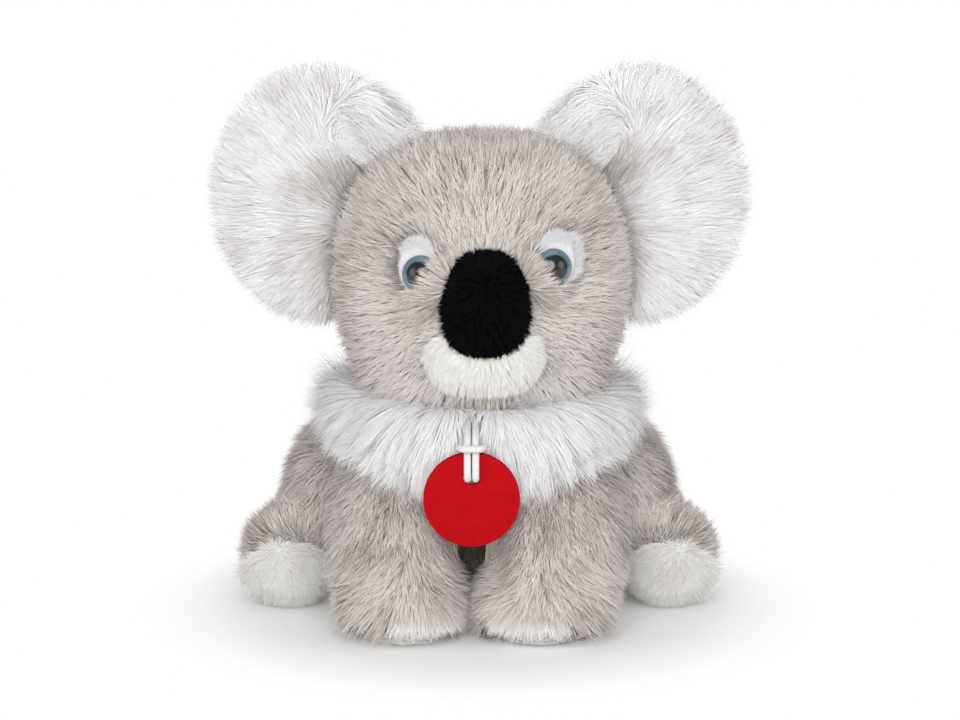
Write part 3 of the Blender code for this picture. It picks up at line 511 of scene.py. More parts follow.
def lie_of_strands(tree, skin, asks, normal):
    """The way each strand leans: combed, scattered a little, and drawn to the middle of its lock."""
    locks = add_node(tree, "GeometryNodeDistributePointsOnFaces")
    feed(tree, locks.inputs["Mesh"], skin)
    feed(tree, locks.inputs["Density"], asks["Lock crowding"])
    feed(tree, locks.inputs["Seed"], maths(tree, "ADD", asks["Seed"], 11.0))
    place = add_node(tree, "GeometryNodeInputPosition").outputs[0]
    nearest = add_node(tree, "GeometryNodeSampleNearest", domain="POINT")
    feed(tree, nearest.inputs["Geometry"], locks.outputs["Points"])
    middle = add_node(tree, "GeometryNodeSampleIndex", data_type="FLOAT_VECTOR", domain="POINT")
    feed(tree, middle.inputs["Geometry"], locks.outputs["Points"])
    feed(tree, middle.inputs["Value"], place)
    feed(tree, middle.inputs["Index"], nearest.outputs[0])
    to_middle = vector_maths(tree, "SUBTRACT", middle.outputs[0], place)
    pull = maths(tree, "DIVIDE", asks["Lock pull"], asks["Length"])
    lean = vector_maths(tree, "SCALE", to_middle, scale=pull)
    lean = vector_maths(tree, "ADD", lean, named(tree, "comb", "FLOAT_VECTOR"))

    loose = add_node(tree, "FunctionNodeRandomValue", data_type="FLOAT_VECTOR")
    feed(tree, loose.inputs[0], (-1.0, -1.0, -1.0))
    feed(tree, loose.inputs[1], (1.0, 1.0, 1.0))
    feed(tree, loose.inputs["Seed"], maths(tree, "ADD", asks["Seed"], 5.0))
    stray = vector_maths(tree, "SCALE", loose.outputs[0], scale=asks["Scatter"])
    lean = vector_maths(tree, "ADD", lean, stray)

    upright = add_node(tree, "FunctionNodeAlignRotationToVector", axis="Z")
    feed(tree, upright.inputs["Vector"], normal)
    turned = add_node(tree, "FunctionNodeAlignRotationToVector", axis="Y", pivot_axis="Z")
    feed(tree, turned.inputs["Rotation"], upright.outputs[0])
    feed(tree, turned.inputs["Vector"], lean)
    return turned.outputs[0]


def strand_tint(tree, asks):
    """How light each strand is: by chance, by patches of the cloth, and by the form's tone, which in places holds
    painted light and shade.
    """
    patches = add_node(tree, "ShaderNodeTexNoise", noise_dimensions="3D")
    feed(tree, patches.inputs["Scale"], maths(tree, "DIVIDE", 1.0, asks["Patch size"]))
    feed(tree, patches.inputs["Detail"], 1.0)
    own = chance(tree, 0.0, 1.0, maths(tree, "ADD", asks["Seed"], 23.0))
    own = maths(tree, "MULTIPLY", own, 0.78)
    patch = maths(tree, "MULTIPLY", maths(tree, "SUBTRACT", patches.outputs[0], 0.5), 1.1)
    tint = maths(tree, "ADD", maths(tree, "ADD", own, patch), 0.13)
    tint = maths(tree, "ADD", tint, named(tree, "tone", "FLOAT"))
    return maths(tree, "MINIMUM", maths(tree, "MAXIMUM", tint, 0.01), 0.99)


def pile_tree():
    """Strands over a form: strand shape, its lie, its tint, then one plain mesh with the finish on it."""
    known = bpy.data.node_groups.get("Koala pile")
    if known is not None:
        return known
    tree = bpy.data.node_groups.new("Koala pile", "GeometryNodeTree")
    tree.interface.new_socket("Skin", in_out="INPUT", socket_type="NodeSocketGeometry")
    for name, kind, default in PILE_INPUTS:
        made = tree.interface.new_socket(name, in_out="INPUT", socket_type=kind)
        if default is not None:
            made.default_value = default
    tree.interface.new_socket("Pile", in_out="OUTPUT", socket_type="NodeSocketGeometry")
    asks = add_node(tree, "NodeGroupInput").outputs
    skin = asks["Skin"]

    pile = named(tree, "pile", "FLOAT")
    grown = maths(tree, "GREATER_THAN", pile, 0.05)
    roots = add_node(tree, "GeometryNodeDistributePointsOnFaces")
    feed(tree, roots.inputs["Mesh"], skin)
    feed(tree, roots.inputs["Density"], maths(tree, "MULTIPLY", asks["Crowding"], grown))
    feed(tree, roots.inputs["Seed"], asks["Seed"])
    points = keep_as(tree, roots.outputs["Points"], "lie", "FLOAT_VECTOR", "POINT", roots.outputs["Normal"])
    points = keep_as(tree, points, "tint", "FLOAT", "POINT", strand_tint(tree, asks))

    along = chance(tree, 0.62, 1.16, maths(tree, "ADD", asks["Seed"], 31.0))
    least = maths(tree, "SUBTRACT", 1.0, asks["Rise change"])
    most = maths(tree, "ADD", 1.0, asks["Rise change"])
    upwards = chance(tree, least, most, maths(tree, "ADD", asks["Seed"], 37.0))
    size = add_node(tree, "ShaderNodeCombineXYZ")
    feed(tree, size.inputs["X"], 1.0)
    feed(tree, size.inputs["Y"], maths(tree, "MULTIPLY", pile, along))
    upwards = maths(tree, "MULTIPLY", upwards, named(tree, "rise", "FLOAT"))
    feed(tree, size.inputs["Z"], maths(tree, "MULTIPLY", maths(tree, "MULTIPLY", pile, along), upwards))

    placed = add_node(tree, "GeometryNodeInstanceOnPoints")
    feed(tree, placed.inputs["Points"], points)
    feed(tree, placed.inputs["Instance"], strand_shape(tree, asks))
    feed(tree, placed.inputs["Rotation"], lie_of_strands(tree, skin, asks, named(tree, "lie", "FLOAT_VECTOR")))
    feed(tree, placed.inputs["Scale"], size.outputs[0])
    real = add_node(tree, "GeometryNodeRealizeInstances")
    feed(tree, real.inputs[0], placed.outputs[0])
    sheet = add_node(tree, "ShaderNodeCombineXYZ")
    feed(tree, sheet.inputs["X"], named(tree, "tint", "FLOAT"))
    feed(tree, sheet.inputs["Y"], named(tree, "far", "FLOAT"))
    done = keep_as(tree, real.outputs[0], "OFBake", "FLOAT2", "CORNER", sheet.outputs[0])
    finish = add_node(tree, "GeometryNodeSetMaterial")
    feed(tree, finish.inputs["Geometry"], done)
    feed(tree, finish.inputs["Material"], asks["Finish"])
    out = add_node(tree, "NodeGroupOutput")
    feed(tree, out.inputs[0], finish.outputs[0])
    return tree


def above_floor(mesh, places, corners):
    """Draws each strand back towards its root until its tip clears the floor."""
    far = np.empty(len(places), dtype=np.float32)
    mesh.attributes["far"].data.foreach_get("value", far)
    strands = places.reshape(-1, corners, 3)
    at_root = far[:corners] < 0.01
    root = strands[:, at_root].mean(axis=1, keepdims=True)
    drop = np.maximum(root[:, 0, 2] - strands[:, :, 2].min(axis=1), 1e-6)
    share = np.clip((root[:, 0, 2] - FLOOR_GAP) / drop, 0.2, 1.0)
    places = (root + (strands - root) * share[:, None, None]).reshape(-1, 3)
    places[:, 2] = np.maximum(places[:, 2], FLOOR_GAP)
    return places


def grow(form, name, finish, body, slot, roundness=0.25, **asks):
    """Grows the pile on a form and leaves it as one plain mesh that rides on the form's body."""
    tree = pile_tree()
    host = bpy.data.objects.new(f"{name}_host", form.data.copy())
    bpy.context.scene.collection.objects.link(host)
    grower = host.modifiers.new("Pile", "NODES")
    grower.node_group = tree
    asks["Finish"] = finish
    for socket in tree.interface.items_tree:
        if socket.in_out == "INPUT" and socket.name in asks:
            grower[socket.identifier] = asks[socket.name]
    pile = plain_copy(host, name)
    bpy.data.objects.remove(host, do_unlink=True)
    mesh = pile.data
    if len(mesh.polygons) < 100:
        raise RuntimeError(f"{name} grew no pile")

    write_places(mesh, above_floor(mesh, read_places(mesh), asks.get("Bends", 2) * 2 + 1))
    lie = np.empty(len(mesh.vertices) * 3, dtype=np.float32)
    mesh.attributes["lie"].data.foreach_get("vector", lie)
    normals = lie.reshape(-1, 3) * (1.0 - roundness) + read_normals(mesh) * roundness
    normals[:, 2] = np.maximum(normals[:, 2], -0.2)
    for spare in ("lie", "tint", "far", "comb", "pile", "tone", "rise"):
        if spare in mesh.attributes:
            mesh.attributes.remove(mesh.attributes[spare])
    mesh.shade_smooth()
    mesh.normals_split_custom_set_from_vertices(unit(normals))
    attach(pile, body)
    return pile


# Finishes


def new_finish(name, roughness, specular=0.3, sheen=0.0):
    """A finish with its tree and shader, or the one of that name with neither if it is made already."""
    finish = bpy.data.materials.get(name)
    if finish is not None:
        return finish, None, None
    finish = bpy.data.materials.new(name)
    finish.use_nodes = True
    tree = finish.node_tree
    shader = tree.nodes["Principled BSDF"]
    shader.inputs["Roughness"].default_value = roughness
    shader.inputs["Specular IOR Level"].default_value = specular
    shader.inputs["Sheen Weight"].default_value = sheen
    shader.inputs["Sheen Roughness"].default_value = 0.5
    return finish, tree, shader


def ramp(tree, value, stops):
    """A colour for each value, from stops of (value, colour)."""
    made = add_node(tree, "ShaderNodeValToRGB")
    points = made.color_ramp.elements
    while len(points) < len(stops):
        points.new(1.0)
    for point, (place, colour) in zip(points, stops):
        point.position = place
        point.color = (*colour, 1.0)
    feed(tree, made.inputs[0], value)
    return made.outputs["Color"]


def mix_colours(tree, share, first, second, blend="MIX"):
    made = add_node(tree, "ShaderNodeMix", data_type="RGBA", blend_type=blend)
    feed(tree, made.inputs[0], share)
    feed(tree, made.inputs[6], first)
    feed(tree, made.inputs[7], second)
    return made.outputs[2]


def between(first, second, share):
    """A colour between two others, or past the second with a share above 1."""
    return tuple(a + (b - a) * share for a, b in zip(first, second))


def darker(colour, share):
    return between(BLACK, colour, share)


def pile_finish(name, deep, light, root_share, sheen=0.12, specular=0.15):
    """Strands: lighter or darker by strand, and darker towards the root as painted shade deep in the pile."""
    finish, tree, shader = new_finish(name, 0.85, specular, sheen)
    if tree is None:
        return finish
    sheet = add_node(tree, "ShaderNodeUVMap", uv_map="OFBake")
    apart = add_node(tree, "ShaderNodeSeparateXYZ")
    feed(tree, apart.inputs[0], sheet.outputs[0])
    tint = ramp(
        tree,
        apart.outputs["X"],
        (
            (0.0, deep),
            (0.22, between(deep, light, 0.42)),
            (0.5, between(deep, light, 0.78)),
            (1.0, light),
        ),
    )
    # Painted shade: each strand darkens towards its root
    root = (root_share,) * 3
    stops = ((0.0, root), (0.45, between(root, WHITE, 0.75)), (1.0, WHITE))
    shade = ramp(tree, apart.outputs["Y"], stops)
    feed(tree, shader.inputs["Base Color"], mix_colours(tree, 1.0, tint, shade, "MULTIPLY"))
    return finish


def cloth_finish(name, deep, light, scale, roughness=0.95, bump=0.3):
    """Backing cloth or felt: fine fibres as noise in colour and in relief."""
    finish, tree, shader = new_finish(name, roughness, 0.0)
    if tree is None:
        return finish
    place = add_node(tree, "ShaderNodeTexCoord").outputs["Object"]
    fibres = add_node(tree, "ShaderNodeTexNoise")
    feed(tree, fibres.inputs["Vector"], place)
    feed(tree, fibres.inputs["Scale"], scale)
    feed(tree, fibres.inputs["Detail"], 4.0)
    patches = add_node(tree, "ShaderNodeTexNoise")
    feed(tree, patches.inputs["Vector"], place)
    feed(tree, patches.inputs["Scale"], scale / 14)
    fine = maths(tree, "MULTIPLY", fibres.outputs[0], 0.7)
    share = maths(tree, "ADD", fine, maths(tree, "MULTIPLY", patches.outputs[0], 0.3))
    feed(tree, shader.inputs["Base Color"], ramp(tree, share, ((0.3, deep), (0.7, light))))
    relief = add_node(tree, "ShaderNodeBump")
    feed(tree, relief.inputs["Strength"], bump)
    feed(tree, relief.inputs["Distance"], 0.0004)
    feed(tree, relief.inputs["Height"], fibres.outputs[0])
    feed(tree, shader.inputs["Normal"], relief.outputs[0])
    return finish


def colour(name):
    return tuple(getattr(bpy.context.scene.koala_colours, name))


def grey_pile():
    return pile_finish("grey_pile", colour("grey_deep"), colour("grey_light"), 0.56)


def shaded_pile():
    """The grey pile painted much darker, as painted shade for the deep gap between the forelegs where it never
    sees the light.
    """
    deep = colour("grey_deep")
    return pile_finish("shaded_pile", darker(deep, 0.12), darker(deep, 0.5), 0.5, 0.0, 0.0)


def white_pile():
    return pile_finish("white_pile", colour("white_deep"), colour("white_light"), 0.93)


def cream_pile():
    return pile_finish("cream_pile", colour("cream_deep"), colour("cream_light"), 0.85)


def black_pile():
    return pile_finish("black_pile", colour("black_deep"), colour("black_light"), 0.12, 0.0, 0.035)


def felt_fibres():
    light = colour("white_light")
    return pile_finish("felt_fibres", darker(light, 0.62), darker(light, 0.80), 0.9)


def grey_backing():
    light = colour("grey_light")
    return cloth_finish("grey_backing", darker(light, 0.36), darker(light, 0.62), BACKING_FIBRES)


def white_backing():
    light = colour("white_light")
    return cloth_finish("white_backing", darker(light, 0.74), darker(light, 0.9), BACKING_FIBRES)


def black_backing():
    return cloth_finish("black_backing", (0.0005,) * 3, (0.002,) * 3, BACKING_FIBRES)


def fill_with(thing, finish):
    thing.data.materials.clear()
    thing.data.materials.append(finish)
    return thing


def sew(form, finish, body, nodes):
    """The form under the pile: it gets its backing cloth and stands for its solids."""
    fill_with(form, finish)
    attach(form, body)
    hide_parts(*nodes)
    return form


# Head


def felt_ellipses():
    """Middle and half sizes of the white felt behind each eye, as seen from the front."""
    made = []
    for side in SIDES:
        low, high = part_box(f"eye_felt_{side}")
        made.append((((low.x + high.x) / 2, (low.z + high.z) / 2), ((high.x - low.x) / 2, (high.z - low.z) / 2)))
    return made


def eye_discs():
    """Middle and radius of each eye, as seen from the front."""
    made = []
    for side in SIDES:
        low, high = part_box(f"eye_{side}")
        made.append((((low.x + high.x) / 2, (low.z + high.z) / 2), (high.z - low.z) / 2))
    return made


def head_features(places):
    """1 where the nose, muzzle and felts sit on the face, 0 well clear of them."""
    front = smooth_step(places[:, 1], -0.025, -0.035)
    near = smooth_step(ellipse_share(places, NOSE_MIDDLE, NOSE_HALF), 1.25, 0.95)
    near = np.maximum(near, smooth_step(ellipse_share(places, MUZZLE_MIDDLE, MUZZLE_HALF), 1.25, 0.95))
    for middle, half in felt_ellipses():
        near = np.maximum(near, smooth_step(ellipse_share(places, middle, half), 1.45, 1.0))
    return near * front


def head_inset(places, normals):
    chin = smooth_step(places[:, 2], 0.118, 0.106) * smooth_step(places[:, 1], -0.01, -0.03)
    inset = 0.0036 * (1.0 - head_features(places)) * (1.0 - 0.6 * chin) + 0.0008
    return inset - (inset + 0.0024) * fringe_share(places)


def head_comb(places, normals):
    away = unit(places - FACE_MIDDLE)
    back = smooth_step(places[:, 1], -0.005, 0.042)
    down = np.tile((0.0, 0.25, -1.0), (len(places), 1))
    return along_surface(mixed(away, down, back), normals)


def head_pile(places, normals):
    front = places[:, 1] < FACE_FRONT
    nose = ellipse_share(places, NOSE_MIDDLE, NOSE_HALF)
    muzzle = ellipse_share(places, MUZZLE_MIDDLE, MUZZLE_HALF)
    close = np.minimum(nose, muzzle)
    pile = 0.5 + 0.5 * smooth_step(close, 1.0, 2.0)
    pile[front & ((nose < 0.93) | (muzzle < 0.93))] = 0.0
    for (middle, half), (eye, radius) in zip(felt_ellipses(), eye_discs()):
        outwards = math.copysign(1.0, middle[0])
        aside = (places[:, 0] - eye[0]) * outwards
        rise = places[:, 2] - eye[1]
        upper_outer = aside * 0.86 + rise * 0.5 > -0.0015
        felt = ellipse_share(places, middle, half)
        disc = np.hypot(aside, rise) / radius
        pile[front & upper_outer & (felt < 1.06)] = 0.0
        pile[front & (disc < 0.95)] = 0.0
    pile[brow_share(places) > 0.5] = 0.0
    chin = smooth_step(places[:, 2], 0.116, 0.104) * front
    pile *= 1.0 + 0.8 * chin
    pile[places[:, 2] < 0.0995] = 0.0
    return pile


def head_rise(places, normals):
    """The pile under the chin hangs over the bib."""
    return 1.0 + smooth_step(places[:, 2], 0.112, 0.103) * smooth_step(places[:, 1], 0.01, -0.02)


def from_eyes(places):
    """For each eye its side, and each place's distance in radii, way inwards and way along the rim."""
    for eye, radius in eye_discs():
        side = math.copysign(1.0, eye[0])
        aside = (places[:, 0] - eye[0]) * side
        rise = places[:, 2] - eye[1]
        inwards = -(aside * EYE_INWARDS[0] + rise * EYE_INWARDS[1])
        yield side, np.hypot(aside, rise) / radius, inwards, rise * EYE_INWARDS[0] - aside * EYE_INWARDS[1]


def fringe_share(places):
    """1 just below and inside each eye, where the cloth swells and its pile leans over the rim, 0 elsewhere."""
    share = np.zeros(len(places))
    for side, disc, inwards, along in from_eyes(places):
        ring = smooth_step(disc, 0.90, 1.0) * smooth_step(disc, 2.0, 1.4) * smooth_step(inwards, 0.0015, 0.0035)
        share = np.maximum(share, ring * (places[:, 1] < FACE_FRONT))
    return share


def fringe_pile(places):
    """Length of the fringe: from the swelling to a slanting line just short of each eye's middle."""
    made = np.zeros(len(places))
    for side, disc, inwards, along in from_eyes(places):
        past = inwards - FRINGE_CUT[side]
        own = np.clip((past + 0.0010) / FRINGE_REACH, 0.22, 1.25) * smooth_step(np.abs(along), 0.0125, 0.0065)
        away = (disc < 1.03) | (past < 0.001) | (inwards > 0.0125) | (np.abs(along) > 0.0115)
        away |= (places[:, 1] > FACE_FRONT) | (ellipse_share(places, NOSE_MIDDLE, NOSE_HALF) < 0.96)
        own[away] = 0.0
        made = np.maximum(made, own)
    return made


def brow_share(places):
    """1 inside the outline of the short white pile above and outside each eye, as seen from the front."""
    share = np.zeros(len(places))
    for side, disc, inwards, along in from_eyes(places):
        aside = -inwards * EYE_INWARDS[0] - along * EYE_INWARDS[1]
        rise = along * EYE_INWARDS[0] - inwards * EYE_INWARDS[1]
        out = np.hypot((aside - BROW_ASIDE[side]) / BROW_HALF[0], (rise - BROW_RISE) / BROW_HALF[1])
        share = np.maximum(share, (out < 1.0) & (inwards < 0.0005) & (places[:, 1] < FACE_FRONT))
    return share


def brow_pile(places):
    made = brow_share(places)
    for middle, half in felt_ellipses():
        made[ellipse_share(places, middle, half) < 0.8] = 0.0
    return made


def head_tone(places, normals):
    """Lighter round the nose and on the cheeks, and most of all under the chin, where it is painted light that
    lifts the chin's shade.
    """
    front = smooth_step(places[:, 1], -0.03, -0.045)
    close = ellipse_share(places, NOSE_MIDDLE, NOSE_HALF)
    cheeks = smooth_step(places[:, 2], 0.172, 0.150)
    # Painted light under the chin, lifting the shade there
    chin = smooth_step(places[:, 2], 0.118, 0.108)
    return (0.20 * smooth_step(close, 2.1, 1.05) + 0.26 * cheeks + 0.50 * chin) * front + 0.02


class KOALA_OT_head(bpy.types.Operator):
    """Sews the head's form and grows the grey pile that radiates from the nose"""

    bl_idname = "koala.head"
    bl_label = "Head"

    def execute(self, context):
        pile = context.scene.koala_pile
        form = sewn_form("head_form", ("head_cover", "head_filling"), 0.0024, 14)
        refine_near(form, [middle for middle, radius in eye_discs()], 0.019)
        dress(form, head_inset, head_comb, head_pile, head_tone, head_rise)
        grow(
            form, "head_pile", grey_pile(), "head", "grey_plush",
            Crowding=1600000 * pile.crowding, Length=pile.head_length, Width=pile.strand_width,
            **{"Root lean": 0.62, "Tip lean": 1.25, "Lock crowding": 110000.0, "Lock pull": 1.6},
            Scatter=0.34, Seed=pile.seed,
        )
        store(form.data, "pile", fringe_pile(read_places(form.data)))
        store(form.data, "rise", np.ones(len(form.data.vertices)))
        store(form.data, "tone", np.zeros(len(form.data.vertices)))
        grow(
            form, "eye_fringe", grey_pile(), "head", "grey_plush",
            Crowding=8500000 * pile.crowding, Length=pile.head_length * 1.4, Width=pile.strand_width,
            Bends=4,
            **{"Root lean": 0.38, "Tip lean": 1.38, "Rise change": 0.12},
            **{"Lock crowding": 110000.0, "Lock pull": 0.9},
            Scatter=0.3, Seed=pile.seed + 20,
        )
        store(form.data, "pile", brow_pile(read_places(form.data)))
        grow(
            form, "brow_pile", felt_fibres(), "head", "short_white_plush",
            Crowding=12000000 * pile.crowding, Length=pile.short_length * 1.2, Width=0.00036,
            **{"Root lean": 0.5, "Tip lean": 1.35, "Lock crowding": 160000.0, "Lock pull": 0.3},
            Scatter=0.2, Seed=pile.seed + 21,
        )
        sew(form, grey_backing(), "head", ("head_cover", "head_filling"))
        return {"FINISHED"}


# Nose and muzzle


def nose_comb(places, normals):
    middle = np.array((0.0035, -0.075, 0.158))
    away = unit((places - middle) * (1.3, 1.0, 1.0))
    down = np.tile((0.0, 0.0, -1.0), (len(places), 1))
    return along_surface(mixed(away, down, np.full(len(places), 0.3)), normals)


def nose_pile(places, normals):
    """Shorter towards the top."""
    return 1.0 - 0.35 * smooth_step(places[:, 2], 0.150, 0.168)


def muzzle_comb(places, normals):
    middle = np.array((0.003, -0.09, 0.150))
    return along_surface((places - middle) * (0.6, 1.0, 1.0), normals)


def bow_up(form):
    """Draws the muzzle's ends inwards and its lower corners up, so that its outline is a crescent."""
    places = read_places(form.data)
    across = (places[:, 0] - MUZZLE_MIDDLE[0]) / MUZZLE_HALF[0]
    places[:, 0] = MUZZLE_MIDDLE[0] - 0.0010 + across * MUZZLE_HALF[0] * 0.91
    places[:, 2] += 0.0018 * across**2 * smooth_step(places[:, 2], 0.126, 0.108)
    write_places(form.data, places)


def muzzle_inset(places, normals):
    return 0.0016 - 0.0011 * smooth_step(np.abs(places[:, 0] - MUZZLE_MIDDLE[0]), 0.012, 0.021)


def muzzle_pile(places, normals):
    """Shorter along the lower edge and at the ends."""
    ends = smooth_step(np.abs(places[:, 0] - MUZZLE_MIDDLE[0]), 0.012, 0.024)
    return (0.7 + 0.3 * smooth_step(places[:, 2], 0.109, 0.114)) * (1.0 - 0.4 * ends)


def muzzle_crease(places):
    """1 on the faint crease that bows down across the muzzle, where the pile is painted darker as painted shade.
    """
    line = 0.1135 + 5.0 * (places[:, 0] - MUZZLE_MIDDLE[0]) ** 2
    return smooth_step(np.abs(places[:, 2] - line), 0.0016, 0.0004)


class KOALA_OT_nose_and_muzzle(bpy.types.Operator):
    """Makes the black nose and the short white muzzle under it"""

    bl_idname = "koala.nose_and_muzzle"
    bl_label = "Nose and muzzle"

    def execute(self, context):
        pile = context.scene.koala_pile
        nose = sewn_form("nose_form", ("nose",), 0.0012, 8)
        dress(nose, evenly(0.0012), nose_comb, nose_pile)
        grow(
            nose, "nose_pile", black_pile(), "head", "black_plush", roundness=0.5,
            Crowding=7000000 * pile.crowding, Length=pile.nose_length, Width=0.0004,
            **{"Root lean": 0.2, "Tip lean": 1.1, "Lock crowding": 170000.0, "Lock pull": 1.6},
            Scatter=0.35, Seed=pile.seed + 1,
        )
        sew(nose, black_backing(), "head", ("nose",))

        muzzle = sewn_form("muzzle_form", ("muzzle",), 0.0012, 6)
        bow_up(muzzle)
        dress(
            muzzle,
            muzzle_inset,
            muzzle_comb,
            muzzle_pile,
            # Lighter towards the top, and darker along the crease as painted shade
            lambda p, n: 0.12 * smooth_step(p[:, 2], 0.110, 0.122) - 0.3 * muzzle_crease(p),
        )
        grow(
            muzzle, "muzzle_pile", cream_pile(), "head", "short_white_plush",
            Crowding=8000000 * pile.crowding, Length=pile.short_length * 1.5, Width=0.00036,
            **{"Root lean": 0.7, "Tip lean": 1.4, "Lock crowding": 150000.0, "Lock pull": 0.8},
            Scatter=0.2, Seed=pile.seed + 2,
        )
        sew(muzzle, white_backing(), "head", ("muzzle",))
        return {"FINISHED"}


# Eyes


def eye_place(side):
    """The eye's place, with its own Z out of the head and its Y upwards, from the solid's own axis."""
    points = read_places(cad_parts[f"eye_{side}"].data)
    points = np.unique(np.round(points, 6), axis=0)
    middle = points.mean(axis=0)
    axes = np.linalg.svd(points - middle, full_matrices=False)[2]
    ahead = Vector(axes[np.argmax(np.abs(axes[:, 1]))])
    if ahead.y > 0:
        ahead.negate()
    across = Vector((0, 0, 1)).cross(ahead).normalized()
    up = ahead.cross(across).normalized()
    far = max(Vector(point - middle).dot(ahead) for point in points)
    apex = Vector(middle) + ahead * far
    return Matrix.Translation(apex) @ Matrix((across, up, ahead)).transposed().to_4x4()


def turned_piece(name, profile, steps, place, stretch=(1.0, 1.0)):
    """A profile of (radius, height) from the bottom up, turned round its own axis, then placed."""
    bm = bmesh.new()
    rows = []
    for radius, height in profile:
        if radius == 0:
            rows.append([bm.verts.new((0, 0, height))])
            continue
        wide, tall = radius * stretch[0], radius * stretch[1]
        turns = [math.tau * index / steps for index in range(steps)]
        rows.append([bm.verts.new((wide * math.cos(turn), tall * math.sin(turn), height)) for turn in turns])
    for row, after in zip(rows, rows[1:]):
        for index in range(steps):
            beside = (index + 1) % steps
            if len(row) == 1:
                bm.faces.new((row[0], after[beside], after[index]))
            elif len(after) == 1:
                bm.faces.new((row[index], row[beside], after[0]))
            else:
                bm.faces.new((row[index], row[beside], after[beside], after[index]))
    bmesh.ops.recalc_face_normals(bm, faces=bm.faces)
    bm.transform(place)
    made = object_from_bmesh(name, bm)
    made.data.shade_smooth()
    return made


def eye_finish(side, place):
    """Glossy plastic: a near-black pupil inside a blue ring that darkens at its rim."""
    iris = colour("iris")
    finish, tree, shader = new_finish(f"eye_plastic_{side}", 0.2, 0.5)
    shader.inputs["Coat Weight"].default_value = 0.7
    shader.inputs["Coat Roughness"].default_value = 0.16
    coords = add_node(tree, "ShaderNodeTexCoord").outputs["Object"]
    middle = place @ Vector((-SIDES[side] * RING_MIDDLE[0], RING_MIDDLE[1], 0.0))
    shifted = vector_maths(tree, "SUBTRACT", coords, tuple(middle))
    ahead = vector_maths(tree, "SCALE", tuple(place.col[2][:3]), scale=1.0)
    depth = add_node(tree, "ShaderNodeVectorMath", operation="DOT_PRODUCT")
    feed(tree, depth.inputs[0], shifted)
    feed(tree, depth.inputs[1], ahead)
    along = vector_maths(tree, "SCALE", ahead, scale=depth.outputs["Value"])
    off = vector_maths(tree, "SUBTRACT", shifted, along)
    far = add_node(tree, "ShaderNodeVectorMath", operation="LENGTH")
    feed(tree, far.inputs[0], off)
    share = maths(tree, "DIVIDE", far.outputs["Value"], EYE_RADIUS)
    shown = ramp(
        tree,
        share,
        (
            (0.0, PUPIL),
            (0.665, PUPIL_RIM),
            (0.70, darker(iris, 0.9)),
            (0.78, darker(iris, 1.15)),
            (0.94, iris),
            (1.0, darker(iris, 0.35)),
        ),
    )
    feed(tree, shader.inputs["Base Color"], shown)
    return finish


def moulded_finish():
    finish, tree, shader = new_finish("moulded_washer", 0.45, 0.4)
    if tree is not None:
        grain = add_node(tree, "ShaderNodeTexNoise")
        feed(tree, grain.inputs["Vector"], add_node(tree, "ShaderNodeTexCoord").outputs["Object"])
        feed(tree, grain.inputs["Scale"], 1500.0)
        tone = ramp(tree, grain.outputs[0], ((0.3, (0.74, 0.74, 0.72)), (0.7, (0.82, 0.82, 0.80))))
        feed(tree, shader.inputs["Base Color"], tone)
    return finish


def felt_pile(off, facing, sign):
    """Fibres on the felt's face, above the eye and outside it."""
    upper_outer = smooth_step(off[:, 0] * sign * 0.86 + off[:, 2] * 0.5, -0.003, 0.002)
    clear = np.hypot(off[:, 0], off[:, 2]) > 0.0081
    return np.where(facing > 0.1, 0.2 + 0.8 * upper_outer, 0.0) * (upper_outer > 0.0) * clear


def eye_profile():
    """Up the stem, out under the rim and over the dome, with its top at height 0."""
    seat = -EYE_DOME - EYE_RIM
    profile = [(0, STEM_END), (STEM_RADIUS, STEM_END), (STEM_RADIUS, seat), (EYE_RADIUS - EYE_EDGE, seat)]
    profile.append((EYE_RADIUS, seat + EYE_EDGE))
    for index in range(DOME_STEPS):
        turn = math.pi / 2 * index / DOME_STEPS
        profile.append((EYE_RADIUS * math.cos(turn), EYE_DOME * (math.sin(turn) - 1)))
    return [*profile, (0, 0)]


class KOALA_OT_eyes(bpy.types.Operator):
    """Makes the two safety eyes with their white felt, and finishes the washers that hold them"""

    bl_idname = "koala.eyes"
    bl_label = "Eyes"

    def execute(self, context):
        pile = context.scene.koala_pile
        for side, sign in SIDES.items():
            place = eye_place(side)
            eye = turned_piece(f"safety_eye_{side}", eye_profile(), TURNED_STEPS, place)
            fill_with(eye, eye_finish(side, place))
            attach(eye, "head")
            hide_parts(f"eye_{side}")

            aside, up, out = FELT_SHIFT
            seat = place @ Matrix.Translation((sign * aside, up, -EYE_DOME - EYE_RIM + out))
            felt = turned_piece(f"white_felt_{side}", FELT_PROFILE, TURNED_STEPS, seat, FELT_STRETCH)
            outwards = np.array(place.col[2][:3])
            dress(
                felt,
                evenly(0.0),
                lambda p, n, c=np.array(place.translation): along_surface(p - c, n),
                lambda p, n, s=sign, c=np.array(place.translation): felt_pile(p - c, n @ outwards, s),
            )
            grow(
                felt, f"white_felt_fibres_{side}", felt_fibres(), "head", "white_felt",
                Crowding=20000000 * pile.crowding, Length=0.0034, Width=0.00026,
                **{"Root lean": 0.5, "Tip lean": 1.35, "Lock crowding": 400000.0, "Lock pull": 0.5},
                Scatter=0.5, Seed=pile.seed + 3,
            )
            cloth = cloth_finish("white_felt_cloth", (0.60, 0.60, 0.61), (0.76, 0.76, 0.77), BACKING_FIBRES)
            fill_with(felt, cloth)
            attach(felt, "head")
            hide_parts(f"eye_felt_{side}")

            fill_with(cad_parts[f"eye_washer_{side}"], moulded_finish())
        return {"FINISHED"}


# Ears


def on_right(places, sign):
    """Places as they would be on the right side, with outwards as +X."""
    return places * (sign, 1.0, 1.0)


